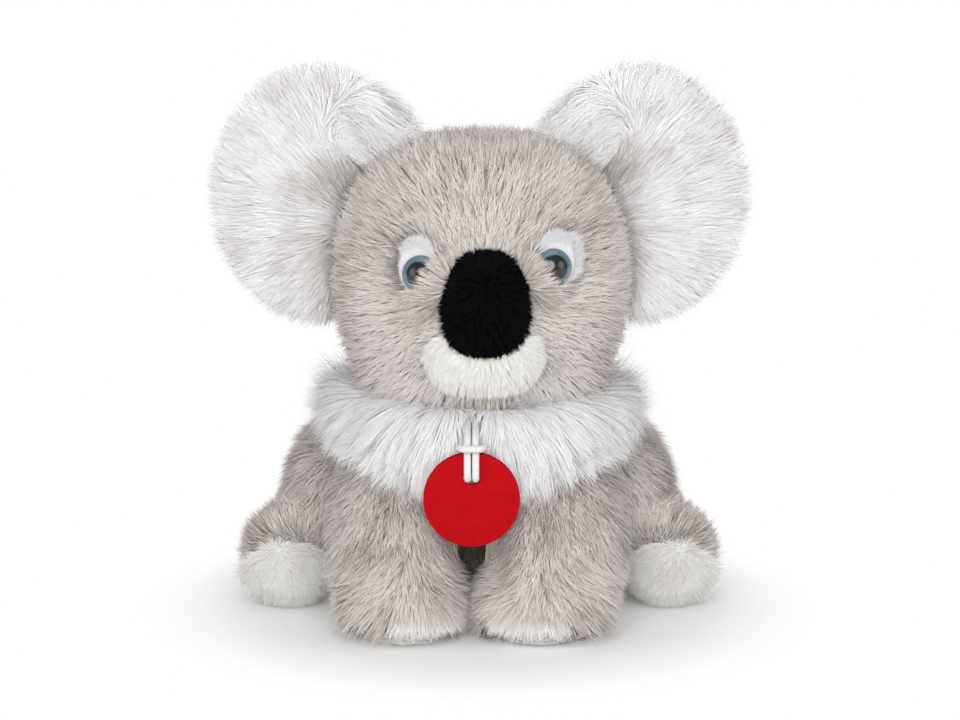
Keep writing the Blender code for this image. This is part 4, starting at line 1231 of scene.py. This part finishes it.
def lobe_share(places):
    """1 on the folded lobe at the ear's upper inner edge, 0 away from it."""
    across = (places[:, 0] - EAR_LOBE[0]) * 0.8 - (places[:, 2] - EAR_LOBE[2]) * 0.6
    along = (places[:, 0] - EAR_LOBE[0]) * 0.6 + (places[:, 2] - EAR_LOBE[2]) * 0.8
    return smooth_step(np.hypot(across / 0.026, along / 0.015), 1.15, 0.6)


def lining_inset(sign):
    def inset(places, normals):
        own = on_right(places, sign)
        out = ellipse_share(own, EAR_MIDDLE, EAR_HALF)
        return 0.0004 + 0.0012 * smooth_step(out, 0.86, 1.06)

    return inset


def lining_comb(sign):
    def comb(places, normals):
        own = on_right(places, sign)
        away = unit((own - EAR_ROOT) * (1.0, 0.0, 1.0)) + (0.0, -0.15, 0.0)
        fold = np.tile((-0.80, -0.25, -0.62), (len(own), 1))
        lie = mixed(away, fold, lobe_share(own)) * (sign, 1.0, 1.0)
        return along_surface(lie, normals)

    return comb


def lining_pile(sign):
    def pile(places, normals):
        own = on_right(places, sign)
        out = ellipse_share(own, EAR_MIDDLE, EAR_HALF)
        made = 0.86 - 0.34 * smooth_step(out, 0.75, 1.0)
        made += 0.25 * lobe_share(own)
        made[normals[:, 1] > 0.45] = 0.0
        return made

    return pile


def lining_rise(sign):
    """The strands stand up a little more where the ear's hollow meets its rim."""

    def rise(places, normals):
        own = on_right(places, sign)
        out = ellipse_share(own, EAR_MIDDLE, EAR_HALF)
        return 1.0 + 0.12 * np.exp(-(((out - 0.72) / 0.14) ** 2))

    return rise


def lining_tone(sign):
    def tone(places, normals):
        own = on_right(places, sign)
        # Lighter all over, and darker low down near the head as painted shade where the ear's hollow meets the
        # head
        near = smooth_step(own[:, 0], 0.078, 0.046) * smooth_step(own[:, 2], 0.212, 0.188)
        return 0.14 - 0.62 * near

    return tone


class KOALA_OT_ears(bpy.types.Operator):
    """Sews the ears, with long white pile inside and short grey pile behind"""

    bl_idname = "koala.ears"
    bl_label = "Ears"

    def execute(self, context):
        pile = context.scene.koala_pile
        for side, sign in SIDES.items():
            body = f"ear_{side}"
            lining = sewn_form(f"ear_lining_form_{side}", (f"ear_lining_{side}",), 0.0018, 22)
            ways = (lining_inset, lining_comb, lining_pile, lining_tone, lining_rise)
            dress(lining, *(way(sign) for way in ways))
            grow(
                lining, f"ear_lining_pile_{side}", white_pile(), body, "white_plush",
                Crowding=5600000 * pile.crowding, Length=pile.ear_length, Width=pile.strand_width * 0.8,
                Bends=3,
                **{"Root lean": 0.8, "Tip lean": 1.45, "Lock crowding": 60000.0, "Lock pull": 0.7},
                Scatter=0.18, Seed=pile.seed + 4,
            )
            sew(lining, white_backing(), body, (f"ear_lining_{side}",))

            back = sewn_form(f"ear_back_form_{side}", (f"ear_back_{side}",), 0.0018, 6)
            dress(
                back,
                lambda p, n: 0.0006 + 0.0026 * smooth_step(n[:, 1], 0.5, -0.2),
                lambda p, n, s=sign: along_surface((p - EAR_ROOT * (s, 1, 1)) * (1, 0, 1), n),
                lambda p, n: 0.85 * smooth_step(n[:, 1], 0.1, 0.5),
            )
            grow(
                back, f"ear_back_pile_{side}", grey_pile(), body, "grey_plush",
                Crowding=2000000 * pile.crowding, Length=pile.body_length, Width=pile.strand_width,
                **{"Root lean": 0.8, "Tip lean": 1.35, "Lock crowding": 80000.0, "Lock pull": 0.7},
                Scatter=0.2, Seed=pile.seed + 5,
            )
            sew(back, grey_backing(), body, (f"ear_back_{side}",))
        return {"FINISHED"}


# Torso and bib


def down_comb(places, normals):
    middle = np.array((0.0, 0.015, 0.0))
    outwards = unit((places - middle) * (1.0, 1.0, 0.0)) * 0.12
    return along_surface(outwards + (0.0, 0.0, -1.0), normals)


def between_forelegs(places):
    """1 on the torso's front in the gap between the forelegs, 0 elsewhere."""
    across = np.abs(places[:, 0] - CORD_ASIDE) < 0.0085
    return across & (places[:, 1] < FACE_FRONT) & (np.abs(places[:, 2] - 0.040) < 0.018)


def torso_pile(places, normals):
    hidden = (places[:, 2] < 0.0035) | (normals[:, 2] > 0.8)
    hidden |= (places[:, 1] < FACE_FRONT) & (places[:, 2] > 0.066)
    return np.where(hidden | between_forelegs(places), 0.0, 1.0)


class KOALA_OT_torso(bpy.types.Operator):
    """Sews the torso and grows its grey pile, which hangs down"""

    bl_idname = "koala.torso"
    bl_label = "Torso"

    def execute(self, context):
        pile = context.scene.koala_pile
        form = sewn_form("torso_form", ("torso_cover", "torso_filling"), 0.0028, 12)
        dress(
            form,
            lambda p, n: 0.0036 * smooth_step(p[:, 2], 0.0, 0.01) + 0.0004,
            down_comb,
            torso_pile,
        )
        grow(
            form, "torso_pile", grey_pile(), "torso", "grey_plush",
            Crowding=1500000 * pile.crowding, Length=pile.body_length, Width=pile.strand_width,
            **{"Root lean": 0.7, "Tip lean": 1.3, "Lock crowding": 80000.0, "Lock pull": 0.7},
            Scatter=0.2, Seed=pile.seed + 6,
        )
        # The gap between the forelegs gets the darker pile, as painted shade for the deep gap there
        places = read_places(form.data)
        store(form.data, "pile", np.where(between_forelegs(places) & (places[:, 2] > 0.0035), 0.7, 0.0))
        grow(
            form, "torso_gap_pile", shaded_pile(), "torso", "grey_plush",
            Crowding=2500000 * pile.crowding, Length=pile.body_length, Width=pile.strand_width,
            **{"Root lean": 0.5, "Tip lean": 1.3, "Lock crowding": 80000.0, "Lock pull": 0.9},
            Scatter=0.3, Seed=pile.seed + 13,
        )
        sew(form, grey_backing(), "torso", ("torso_cover", "torso_filling"))
        return {"FINISHED"}


def bib_comb(places, normals):
    """Outwards and down from the neck, and straight down beside the cord."""
    across = places[:, 0] - CORD_ASIDE
    beside = smooth_step(np.abs(across), 0.0100, 0.0045) * smooth_step(places[:, 2], 0.082, 0.090)
    down = np.stack((-0.3 * np.sign(across), np.full(len(across), -0.25), np.full(len(across), -1.0)), axis=1)
    share = 0.85 * beside * (places[:, 1] < BIB_FRONT)
    return along_surface(mixed(unit(places - CHIN_MIDDLE), down, share), normals)


def behind_tag(places):
    """1 where the tag hangs in front of the bib, 0 well away from it."""
    across = smooth_step(np.abs(places[:, 0] - CORD_ASIDE), 0.027, 0.018)
    return across * smooth_step(places[:, 2], 0.098, 0.090) * (places[:, 1] < BIB_FRONT)


def bib_rise(places, normals):
    """The locks stay low behind the tag."""
    return 1.0 - 0.45 * behind_tag(places)


def bib_pile(places, normals):
    """Longest away from the neck, shorter low down, and short where the cord leaves the neck seam."""
    far = np.hypot(places[:, 0], places[:, 1] + 0.01)
    made = 0.72 + 0.28 * smooth_step(far, 0.04, 0.06)
    low = smooth_step(places[:, 2], 0.078, 0.066)
    made *= 1.0 - 0.35 * low
    inner = np.sum(normals * unit((places - CHIN_MIDDLE) * (1, 1, 0)), axis=1) < -0.2
    made[inner] = 0.0
    aside = np.abs(places[:, 0] - CORD_ASIDE)
    front = places[:, 1] < BIB_FRONT
    made[(aside < 0.0036) & (places[:, 2] > 0.089) & front] *= 0.3
    made[(aside < 0.0052) & (places[:, 2] > CORD_EXIT_RISE) & front] = 0.5
    return made


class KOALA_OT_bib(bpy.types.Operator):
    """Sews the bib and grows the long white locks that hang from the neck"""

    bl_idname = "koala.bib"
    bl_label = "Bib"

    def execute(self, context):
        pile = context.scene.koala_pile
        form = sewn_form("bib_form", ("bib",), 0.0020, 4)
        dress(form, evenly(0.0014), bib_comb, bib_pile, evenly(0.34), bib_rise)
        grow(
            form, "bib_pile", white_pile(), "torso", "white_plush",
            Crowding=5400000 * pile.crowding, Length=pile.bib_length, Width=0.00041,
            Bends=3,
            **{"Root lean": 1.0, "Tip lean": 1.48, "Lock crowding": 32000.0, "Lock pull": 1.3},
            Scatter=0.14, Seed=pile.seed + 7,
        )
        sew(form, white_backing(), "torso", ("bib",))
        return {"FINISHED"}


# Legs


def foreleg_comb(sign):
    def comb(places, normals):
        own = on_right(places, sign)
        down = np.tile((0.06, -0.05, -1.0), (len(own), 1))
        fan = unit(own - PAW_WHORL)
        fan[:, 2] -= 0.15
        share = smooth_step(own[:, 2], 0.044, 0.024)
        return along_surface(mixed(down, fan, share) * (sign, 1.0, 1.0), normals)

    return comb


def toe_height(own):
    """1 below the white toes' upper edge, 0 above it."""
    return smooth_step(own[:, 2], 0.0185, 0.0125)


def toe_share(own):
    """1 at the middle of the paw's front, where the white toes show, and 0 round them."""
    across = (own[:, 0] - 0.0215) / 0.0155
    return smooth_step(np.abs(across), 1.15, 0.75) * smooth_step(own[:, 1], -0.045, -0.058)


def foreleg_inset(sign):
    def inset(places, normals):
        own = on_right(places, sign)
        parting = smooth_step(own[:, 0], 0.018, 0.005) * smooth_step(own[:, 1], -0.01, -0.04)
        parting *= smooth_step(np.abs(own[:, 2] - 0.042), 0.024, 0.004)
        return 0.0034 + 0.0065 * parting

    return inset


def foreleg_pile(sign):
    def pile(places, normals):
        own = on_right(places, sign)
        low = smooth_step(own[:, 2], 0.022, 0.012)
        made = (1.0 + 0.4 * low) * (1.0 - (toe_height(own) * toe_share(own)) ** 2)
        made[made < 0.2] = 0.0
        fork = smooth_step(own[:, 0], 0.017, 0.004) * smooth_step(own[:, 2], 0.016, 0.044) * (own[:, 2] < 0.060)
        made *= 1.0 - 0.7 * fork
        made[(normals[:, 1] > 0.75) & (own[:, 2] > 0.03) | (normals[:, 2] < -0.55)] = 0.0
        return made

    return pile


def foreleg_tone(sign):
    def tone(places, normals):
        own = on_right(places, sign)
        return 0.30 * smooth_step(own[:, 2], 0.030, 0.014) * toe_share(own)

    return tone


def draw_together(form, share):
    """Makes a form smaller as seen from above, about its own middle."""
    places = read_places(form.data)
    middle = (places.min(axis=0) + places.max(axis=0)) / 2
    write_places(form.data, middle + (places - middle) * (share, share, 1.0))


def sole_comb(sign, whorl):
    """Away from the whorl all round."""

    def comb(places, normals):
        return along_surface(places - whorl * (sign, 1.0, 1.0), normals)

    return comb


def forepaw_pile(sign):
    def pile(places, normals):
        hidden = (places[:, 2] < 0.0030) | (np.abs(normals[:, 2]) > 0.7)
        return np.where(hidden, 0.0, toe_share(on_right(places, sign)))

    return pile


class KOALA_OT_forelegs(bpy.types.Operator):
    """Sews the forelegs, with grey pile down to the paws and white toes"""

    bl_idname = "koala.forelegs"
    bl_label = "Forelegs"

    def execute(self, context):
        pile = context.scene.koala_pile
        for side, sign in SIDES.items():
            body = f"foreleg_{side}"
            nodes = (f"foreleg_cover_{side}", f"foreleg_filling_{side}")
            form = sewn_form(f"foreleg_form_{side}", nodes, 0.0022, 8)
            dress(form, foreleg_inset(sign), foreleg_comb(sign), foreleg_pile(sign), foreleg_tone(sign))
            grow(
                form, f"foreleg_pile_{side}", grey_pile(), body, "grey_plush",
                Crowding=2600000 * pile.crowding, Length=pile.body_length, Width=pile.strand_width,
                **{"Root lean": 0.6, "Tip lean": 1.3, "Lock crowding": 90000.0, "Lock pull": 1.0},
                Scatter=0.28, Seed=pile.seed + 8,
            )
            own = on_right(read_places(form.data), sign)
            toes = toe_height(own) * toe_share(own)
            grown = (toes > 0.2) & (read_normals(form.data)[:, 2] > -0.75)
            store(form.data, "tone", np.full(len(own), 0.5))
            store(form.data, "pile", np.where(grown, 0.7 + 0.4 * toes, 0.0))
            grow(
                form, f"toe_pile_{side}", cream_pile(), body, "short_white_plush",
                Crowding=14000000 * pile.crowding, Length=pile.short_length * 1.9, Width=0.00040,
                **{"Root lean": 0.75, "Tip lean": 1.45, "Lock crowding": 160000.0, "Lock pull": 0.5},
                Scatter=0.2, Seed=pile.seed + 12,
            )
            sew(form, grey_backing(), body, nodes)

            sole = sewn_form(f"forepaw_sole_form_{side}", (f"forepaw_sole_{side}",), 0.0016, 4)
            draw_together(sole, 0.88)
            dress(
                sole,
                lambda p, n: 0.0014 * smooth_step(p[:, 2], 0.0, 0.004),
                sole_comb(sign, np.array((0.024, -0.045, 0.012))),
                forepaw_pile(sign),
            )
            grow(
                sole, f"forepaw_sole_pile_{side}", cream_pile(), body, "short_white_plush",
                Crowding=12000000 * pile.crowding, Length=pile.short_length * 1.2, Width=0.00036,
                **{"Root lean": 0.5, "Tip lean": 1.4, "Lock crowding": 160000.0, "Lock pull": 0.5},
                Scatter=0.2, Seed=pile.seed + 9,
            )
            places = read_places(sole.data)
            rim = (places[:, 2] > 0.0025) & (np.abs(read_normals(sole.data)[:, 2]) < 0.85)
            rim &= toe_share(on_right(places, sign)) < 0.85
            store(sole.data, "pile", rim.astype(float))
            # The rim's grey pile is painted lighter, as painted light that lifts the deep shade between the leg's
            # longer strands
            store(sole.data, "tone", np.full(len(places), 0.45))
            grow(
                sole, f"forepaw_rim_pile_{side}", grey_pile(), body, "grey_plush",
                Crowding=4500000 * pile.crowding, Length=pile.body_length * 0.8, Width=pile.strand_width,
                **{"Root lean": 0.5, "Tip lean": 1.3, "Lock crowding": 110000.0, "Lock pull": 0.8},
                Scatter=0.3, Seed=pile.seed + 14,
            )
            sew(sole, white_backing(), body, (f"forepaw_sole_{side}",))
        return {"FINISHED"}


def hindleg_comb(sign):
    def comb(places, normals):
        own = on_right(places, sign)
        thigh = np.tile((0.25, 0.25, -1.0), (len(own), 1))
        foot = unit(own - FOOT_MIDDLE)
        low = smooth_step(own[:, 2], 0.052, 0.036) * smooth_step(own[:, 1], 0.045, 0.025)
        return along_surface(mixed(thigh, foot, low) * (sign, 1.0, 1.0), normals)

    return comb


def hindleg_pile(sign):
    """None against the torso or underneath."""

    def pile(places, normals):
        inside = (normals[:, 0] * sign < -0.7) & (places[:, 2] > 0.03)
        return np.where(inside | (places[:, 2] < 0.003), 0.0, 1.0)

    return pile


def sole_pile(own):
    """Longer towards the sole's rim, where the pile hides the seam."""
    out = np.hypot((own[:, 0] - FOOT_MIDDLE[0]) / 0.024, (own[:, 2] - 0.0165) / 0.0165)
    return 0.75 + 0.65 * smooth_step(out, 0.6, 1.0)


class KOALA_OT_hindlegs(bpy.types.Operator):
    """Sews the hind legs, with grey pile and a short white sole on each foot"""

    bl_idname = "koala.hindlegs"
    bl_label = "Hind legs"

    def execute(self, context):
        pile = context.scene.koala_pile
        for side, sign in SIDES.items():
            body = f"hindleg_{side}"
            nodes = (f"hindleg_cover_{side}", f"hindleg_filling_{side}")
            form = sewn_form(f"hindleg_form_{side}", nodes, 0.0024, 8)
            dress(
                form,
                lambda p, n: 0.0034 * smooth_step(p[:, 2], 0.0, 0.008) + 0.0004,
                hindleg_comb(sign),
                hindleg_pile(sign),
            )
            grow(
                form, f"hindleg_pile_{side}", grey_pile(), body, "grey_plush",
                Crowding=2200000 * pile.crowding, Length=pile.body_length, Width=pile.strand_width,
                **{"Root lean": 0.6, "Tip lean": 1.3, "Lock crowding": 90000.0, "Lock pull": 0.95},
                Scatter=0.22, Seed=pile.seed + 10,
            )
            sew(form, grey_backing(), body, nodes)

            sole = sewn_form(f"hindfoot_sole_form_{side}", (f"hindfoot_sole_{side}",), 0.0016, 5)
            dress(
                sole,
                lambda p, n: 0.0018 * smooth_step(p[:, 2], 0.0, 0.004) + 0.0002,
                sole_comb(sign, SOLE_WHORL),
                lambda p, n, s=sign: np.where((n[:, 1] > 0.3) | (p[:, 2] < 0.0008), 0.0, sole_pile(p * (s, 1, 1))),
                # Darker towards the floor, as painted shade where the sole meets it
                lambda p, n: -0.30 * smooth_step(p[:, 2], 0.012, 0.002),
            )
            grow(
                sole, f"hindfoot_sole_pile_{side}", cream_pile(), body, "short_white_plush",
                Crowding=7500000 * pile.crowding, Length=pile.short_length * 1.4, Width=0.00036,
                **{"Root lean": 0.6, "Tip lean": 1.35, "Lock crowding": 110000.0, "Lock pull": 0.9},
                Scatter=0.4, Seed=pile.seed + 11,
            )
            sew(sole, white_backing(), body, (f"hindfoot_sole_{side}",))
        return {"FINISHED"}


# Tag and cord

# From the tag's upper edge or its hole: across in half spacings, ahead in steps of the strand's
# distance from the tag's middle, and up in cord diameters
CORD_LEAD = (0.0, 0.35, 0.7)
CORD_TURNS = (
    ("edge", 1.0, -0.2, 2.0),
    ("edge", 1.0, 0.95, 0.95),
    ("edge", 1.0, 1.0, -0.5),
    ("hole", 1.0, 1.0, 0.78),
    ("hole", 1.0, 0.82, -0.45),
    ("hole", 1.0, 0.0, -0.76),
    ("hole", 1.0, -0.82, -0.45),
    ("hole", 1.1, -1.0, 0.78),
    ("edge", 2.2, -1.0, -0.7),
    ("edge", 2.9, -0.85, 0.2),
    ("edge", 3.1, -0.1, 0.65),
    ("edge", 3.0, 0.95, 0.85),
    ("edge", 2.1, 2.02, 0.92),
    ("edge", 0.9, 2.26, 0.95),
)
TAG_FRONT = 0.0735
TAG_MIDDLE = 0.0661
TAG_RADIUS = 0.02015
TAG_THICKNESS = 0.0024
TAG_HOLE = TAG_MIDDLE + TAG_RADIUS - 0.0113
CORD_EXIT_RISE = 0.0946
CORD_EXIT_DEPTH = 0.0391
CORD_HALF_SPACING = 0.0017
CORD_CLEARANCE = 0.0004


def cord_places(diameter):
    """The whole loop as places: out of the neck seam, through the tag's hole, round its edge and back."""
    heights = {"edge": TAG_MIDDLE + TAG_RADIUS, "hole": TAG_HOLE + diameter / 2 + 2 * CORD_CLEARANCE}
    face = TAG_THICKNESS / 2 + CORD_CLEARANCE + diameter / 2
    half = []
    for share in CORD_LEAD:
        ahead = CORD_EXIT_DEPTH + (TAG_FRONT - CORD_EXIT_DEPTH) * share
        half.append((CORD_HALF_SPACING, ahead, CORD_EXIT_RISE))
    for anchor, across, ahead, up in CORD_TURNS:
        half.append((CORD_HALF_SPACING * across, TAG_FRONT + face * ahead, heights[anchor] + diameter * up))
    places = [Vector((CORD_ASIDE + across, -ahead, up)) for across, ahead, up in half]
    places += [Vector((CORD_ASIDE - across, -ahead, up)) for across, ahead, up in reversed(half)]
    return places


def smooth_route(places, steps):
    """A curve through all the places, with this many steps from each to the next."""
    points = []
    for index in range(len(places) - 1):
        before = places[max(index - 1, 0)]
        here, there = places[index], places[index + 1]
        after = places[min(index + 2, len(places) - 1)]
        for step in range(steps):
            t = step / steps
            bend = (2 * before - 5 * here + 4 * there - after) * t**2
            twist = (3 * here - before - 3 * there + after) * t**3
            points.append(0.5 * (2 * here + (there - before) * t + bend + twist))
    points.append(places[-1])
    return points


class KOALA_OT_cord(bpy.types.Operator):
    """Lays the braided cord from the neck seam through the tag and back"""

    bl_idname = "koala.cord"
    bl_label = "Cord"

    def execute(self, context):
        settings = context.scene.koala_cord
        points = smooth_route(cord_places(settings.diameter), 3)
        curve = bpy.data.curves.new("braided_cord", "CURVE")
        curve.dimensions = "3D"
        curve.bevel_depth = settings.diameter / 2
        curve.bevel_resolution = 4
        curve.use_fill_caps = True
        spline = curve.splines.new("POLY")
        spline.points.add(len(points) - 1)
        for target, place in zip(spline.points, points):
            target.co = (*place, 1)
        cord = bpy.data.objects.new("braided_cord", curve)
        context.scene.collection.objects.link(cord)

        finish, tree, shader = new_finish("braided_white", 0.8, 0.25, 0.15)
        sheet = add_node(tree, "ShaderNodeTexCoord").outputs["UV"]
        apart = add_node(tree, "ShaderNodeSeparateXYZ")
        feed(tree, apart.inputs[0], sheet)
        run = maths(tree, "MULTIPLY", apart.outputs["X"], math.tau * BRAID_ALONG)
        ring = maths(tree, "MULTIPLY", apart.outputs["Y"], math.tau * BRAID_ROUND)
        one = maths(tree, "SINE", maths(tree, "ADD", run, ring))
        other = maths(tree, "SINE", maths(tree, "SUBTRACT", run, ring))
        height = maths(tree, "MAXIMUM", one, other)
        white = colour("cord_white")
        share = maths(tree, "MULTIPLY_ADD", height, 0.5)
        # The braid's grooves are painted darker, as painted shade between its strands
        tone = ramp(tree, share, ((0.0, darker(white, 0.72)), (0.5, white)))
        feed(tree, shader.inputs["Base Color"], tone)
        relief = add_node(tree, "ShaderNodeBump")
        feed(tree, relief.inputs["Strength"], 0.6)
        feed(tree, relief.inputs["Distance"], 0.0003)
        feed(tree, relief.inputs["Height"], height)
        feed(tree, shader.inputs["Normal"], relief.outputs[0])
        fill_with(cord, finish)
        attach(cord, "tag")
        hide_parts("tag_cord")
        length = sum((after - here).length for here, after in zip(points, points[1:]))
        if abs(length - settings.length) > 0.05 * settings.length:
            raise RuntimeError(f"The cord's route is {length:.4f} m long")
        return {"FINISHED"}


class KOALA_OT_tag(bpy.types.Operator):
    """Makes the round red felt tag with its hole"""

    bl_idname = "koala.tag"
    bl_label = "Tag"

    def execute(self, context):
        red = colour("felt_red")
        tag = merged_copy("felt_tag", ("tag",))
        flat = tag.modifiers.new("Join flats", "DECIMATE")
        flat.decimate_type = "DISSOLVE"
        flat.angle_limit = math.radians(1)
        edge = tag.modifiers.new("Soft edge", "BEVEL")
        edge.width = 0.0004
        edge.segments = 2
        edge.limit_method = "ANGLE"
        edge.angle_limit = math.radians(50)
        made = plain_copy(tag, "felt_tag_face")
        bpy.data.objects.remove(tag, do_unlink=True)
        made.data.shade_smooth()
        made.data.set_sharp_from_angle(angle=math.radians(30))
        fill_with(made, cloth_finish("tag_felt", darker(red, 0.8), darker(red, 1.08), FELT_FIBRES, bump=0.5))
        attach(made, "tag")
        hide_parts("tag")

        settings = context.scene.koala_cord
        exit_place = cord_places(settings.diameter)[0]
        return {"FINISHED"}


# Stage


def soft_lamp(name, place, size, power, aim):
    lamp = bpy.data.lights.new(name, "AREA")
    lamp.shape = "DISK"
    lamp.size = size
    lamp.energy = power
    made = bpy.data.objects.new(name, lamp)
    made.location = place
    made.rotation_euler = (Vector(aim) - Vector(place)).to_track_quat("-Z", "Y").to_euler()
    bpy.context.scene.collection.objects.link(made)
    return made


class KOALA_OT_stage(bpy.types.Operator):
    """Sets up the camera, the pale floor, the soft lamps and the surround"""

    bl_idname = "koala.stage"
    bl_label = "Stage"

    def execute(self, context):
        scene = context.scene
        stage = scene.koala_stage
        scene.view_settings.view_transform = "Standard"

        aim = Vector(stage.aim)
        camera = bpy.data.cameras.new("Camera")
        camera.lens = stage.lens
        camera.sensor_width = 36.0
        camera.clip_end = 20.0
        viewer = bpy.data.objects.new("Camera", camera)
        rise = stage.camera_elevation
        viewer.location = aim + stage.camera_distance * Vector((0, -math.cos(rise), math.sin(rise)))
        viewer.rotation_euler = (aim - viewer.location).to_track_quat("-Z", "Y").to_euler()
        scene.collection.objects.link(viewer)
        scene.camera = viewer

        bm = bmesh.new()
        bmesh.ops.create_grid(bm, x_segments=1, y_segments=1, size=FLOOR_SIZE)
        floor = object_from_bmesh("floor", bm)
        finish = bpy.data.materials.new("pale_floor")
        finish.use_nodes = True
        tree = finish.node_tree
        shader = tree.nodes["Principled BSDF"]
        shader.inputs["Base Color"].default_value = (0.8, 0.8, 0.8, 1.0)
        shader.inputs["Roughness"].default_value = 0.9
        shader.inputs["Specular IOR Level"].default_value = 0.1
        rays = add_node(tree, "ShaderNodeLightPath")
        seen = maths(tree, "MAXIMUM", rays.outputs["Is Camera Ray"], rays.outputs["Is Glossy Ray"])
        feed(tree, shader.inputs["Emission Color"], (1.0, 1.0, 1.0, 1.0))
        feed(tree, shader.inputs["Emission Strength"], maths(tree, "MULTIPLY", seen, FLOOR_GLOW))
        apart = add_node(tree, "ShaderNodeVectorMath", operation="LENGTH")
        feed(tree, apart.inputs[0], add_node(tree, "ShaderNodeTexCoord").outputs["Object"])
        away = add_node(tree, "ShaderNodeMapRange", interpolation_type="SMOOTHSTEP")
        feed(tree, away.inputs["Value"], apart.outputs["Value"])
        feed(tree, away.inputs["From Min"], FADE_START)
        feed(tree, away.inputs["From Max"], FADE_END)
        plain = add_node(tree, "ShaderNodeEmission")
        joined = add_node(tree, "ShaderNodeMixShader")
        feed(tree, joined.inputs[0], maths(tree, "MULTIPLY", seen, away.outputs["Result"]))
        feed(tree, joined.inputs[1], shader.outputs[0])
        feed(tree, joined.inputs[2], plain.outputs[0])
        feed(tree, tree.nodes["Material Output"].inputs["Surface"], joined.outputs[0])
        fill_with(floor, finish)

        world = bpy.data.worlds.new("Surround")
        scene.world = world
        world.use_nodes = True
        tree = world.node_tree
        light = tree.nodes["Background"]
        rays = add_node(tree, "ShaderNodeLightPath")
        seen = maths(tree, "MAXIMUM", rays.outputs["Is Camera Ray"], rays.outputs["Is Transmission Ray"])
        feed(tree, light.inputs["Color"], (1.0, 1.0, 1.0, 1.0))
        strength = maths(tree, "ADD", maths(tree, "MULTIPLY", seen, 1.0 - stage.surround), stage.surround)
        feed(tree, light.inputs["Strength"], strength)

        for name, place, size, power in LAMPS:
            soft_lamp(name, place, size, getattr(stage, power), aim)
        return {"FINISHED"}


class KOALA_PT_panel(bpy.types.Panel):
    """Lists the koala's operators and settings"""

    bl_idname = "KOALA_PT_panel"
    bl_label = "Plush koala"
    bl_space_type = "VIEW_3D"
    bl_region_type = "UI"
    bl_category = "Koala"

    def draw(self, context):
        for maker in MAKERS:
            self.layout.operator(maker.bl_idname)
        for group in ("koala_pile", "koala_colours", "koala_cord", "koala_stage"):
            settings = getattr(context.scene, group)
            box = self.layout.box()
            for name in settings.__annotations__:
                box.prop(settings, name)


SETTINGS = {
    "koala_pile": KoalaPile,
    "koala_colours": KoalaColours,
    "koala_cord": KoalaCord,
    "koala_stage": KoalaStage,
}
MAKERS = (
    KOALA_OT_stage,
    KOALA_OT_cord,
    KOALA_OT_tag,
    KOALA_OT_head,
    KOALA_OT_nose_and_muzzle,
    KOALA_OT_eyes,
    KOALA_OT_ears,
    KOALA_OT_torso,
    KOALA_OT_bib,
    KOALA_OT_forelegs,
    KOALA_OT_hindlegs,
)


def register():
    for group in SETTINGS.values():
        bpy.utils.register_class(group)
    for maker in MAKERS:
        bpy.utils.register_class(maker)
    bpy.utils.register_class(KOALA_PT_panel)
    for name, group in SETTINGS.items():
        setattr(bpy.types.Scene, name, PointerProperty(type=group))


def unregister():
    for name in SETTINGS:
        delattr(bpy.types.Scene, name)
    bpy.utils.unregister_class(KOALA_PT_panel)
    for maker in reversed(MAKERS):
        bpy.utils.unregister_class(maker)
    for group in reversed(SETTINGS.values()):
        bpy.utils.unregister_class(group)


def main():
    register()
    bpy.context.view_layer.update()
    for maker in MAKERS:
        family, name = maker.bl_idname.split(".")
        getattr(getattr(bpy.ops, family), name)()


if __name__ == "__main__":
    main()
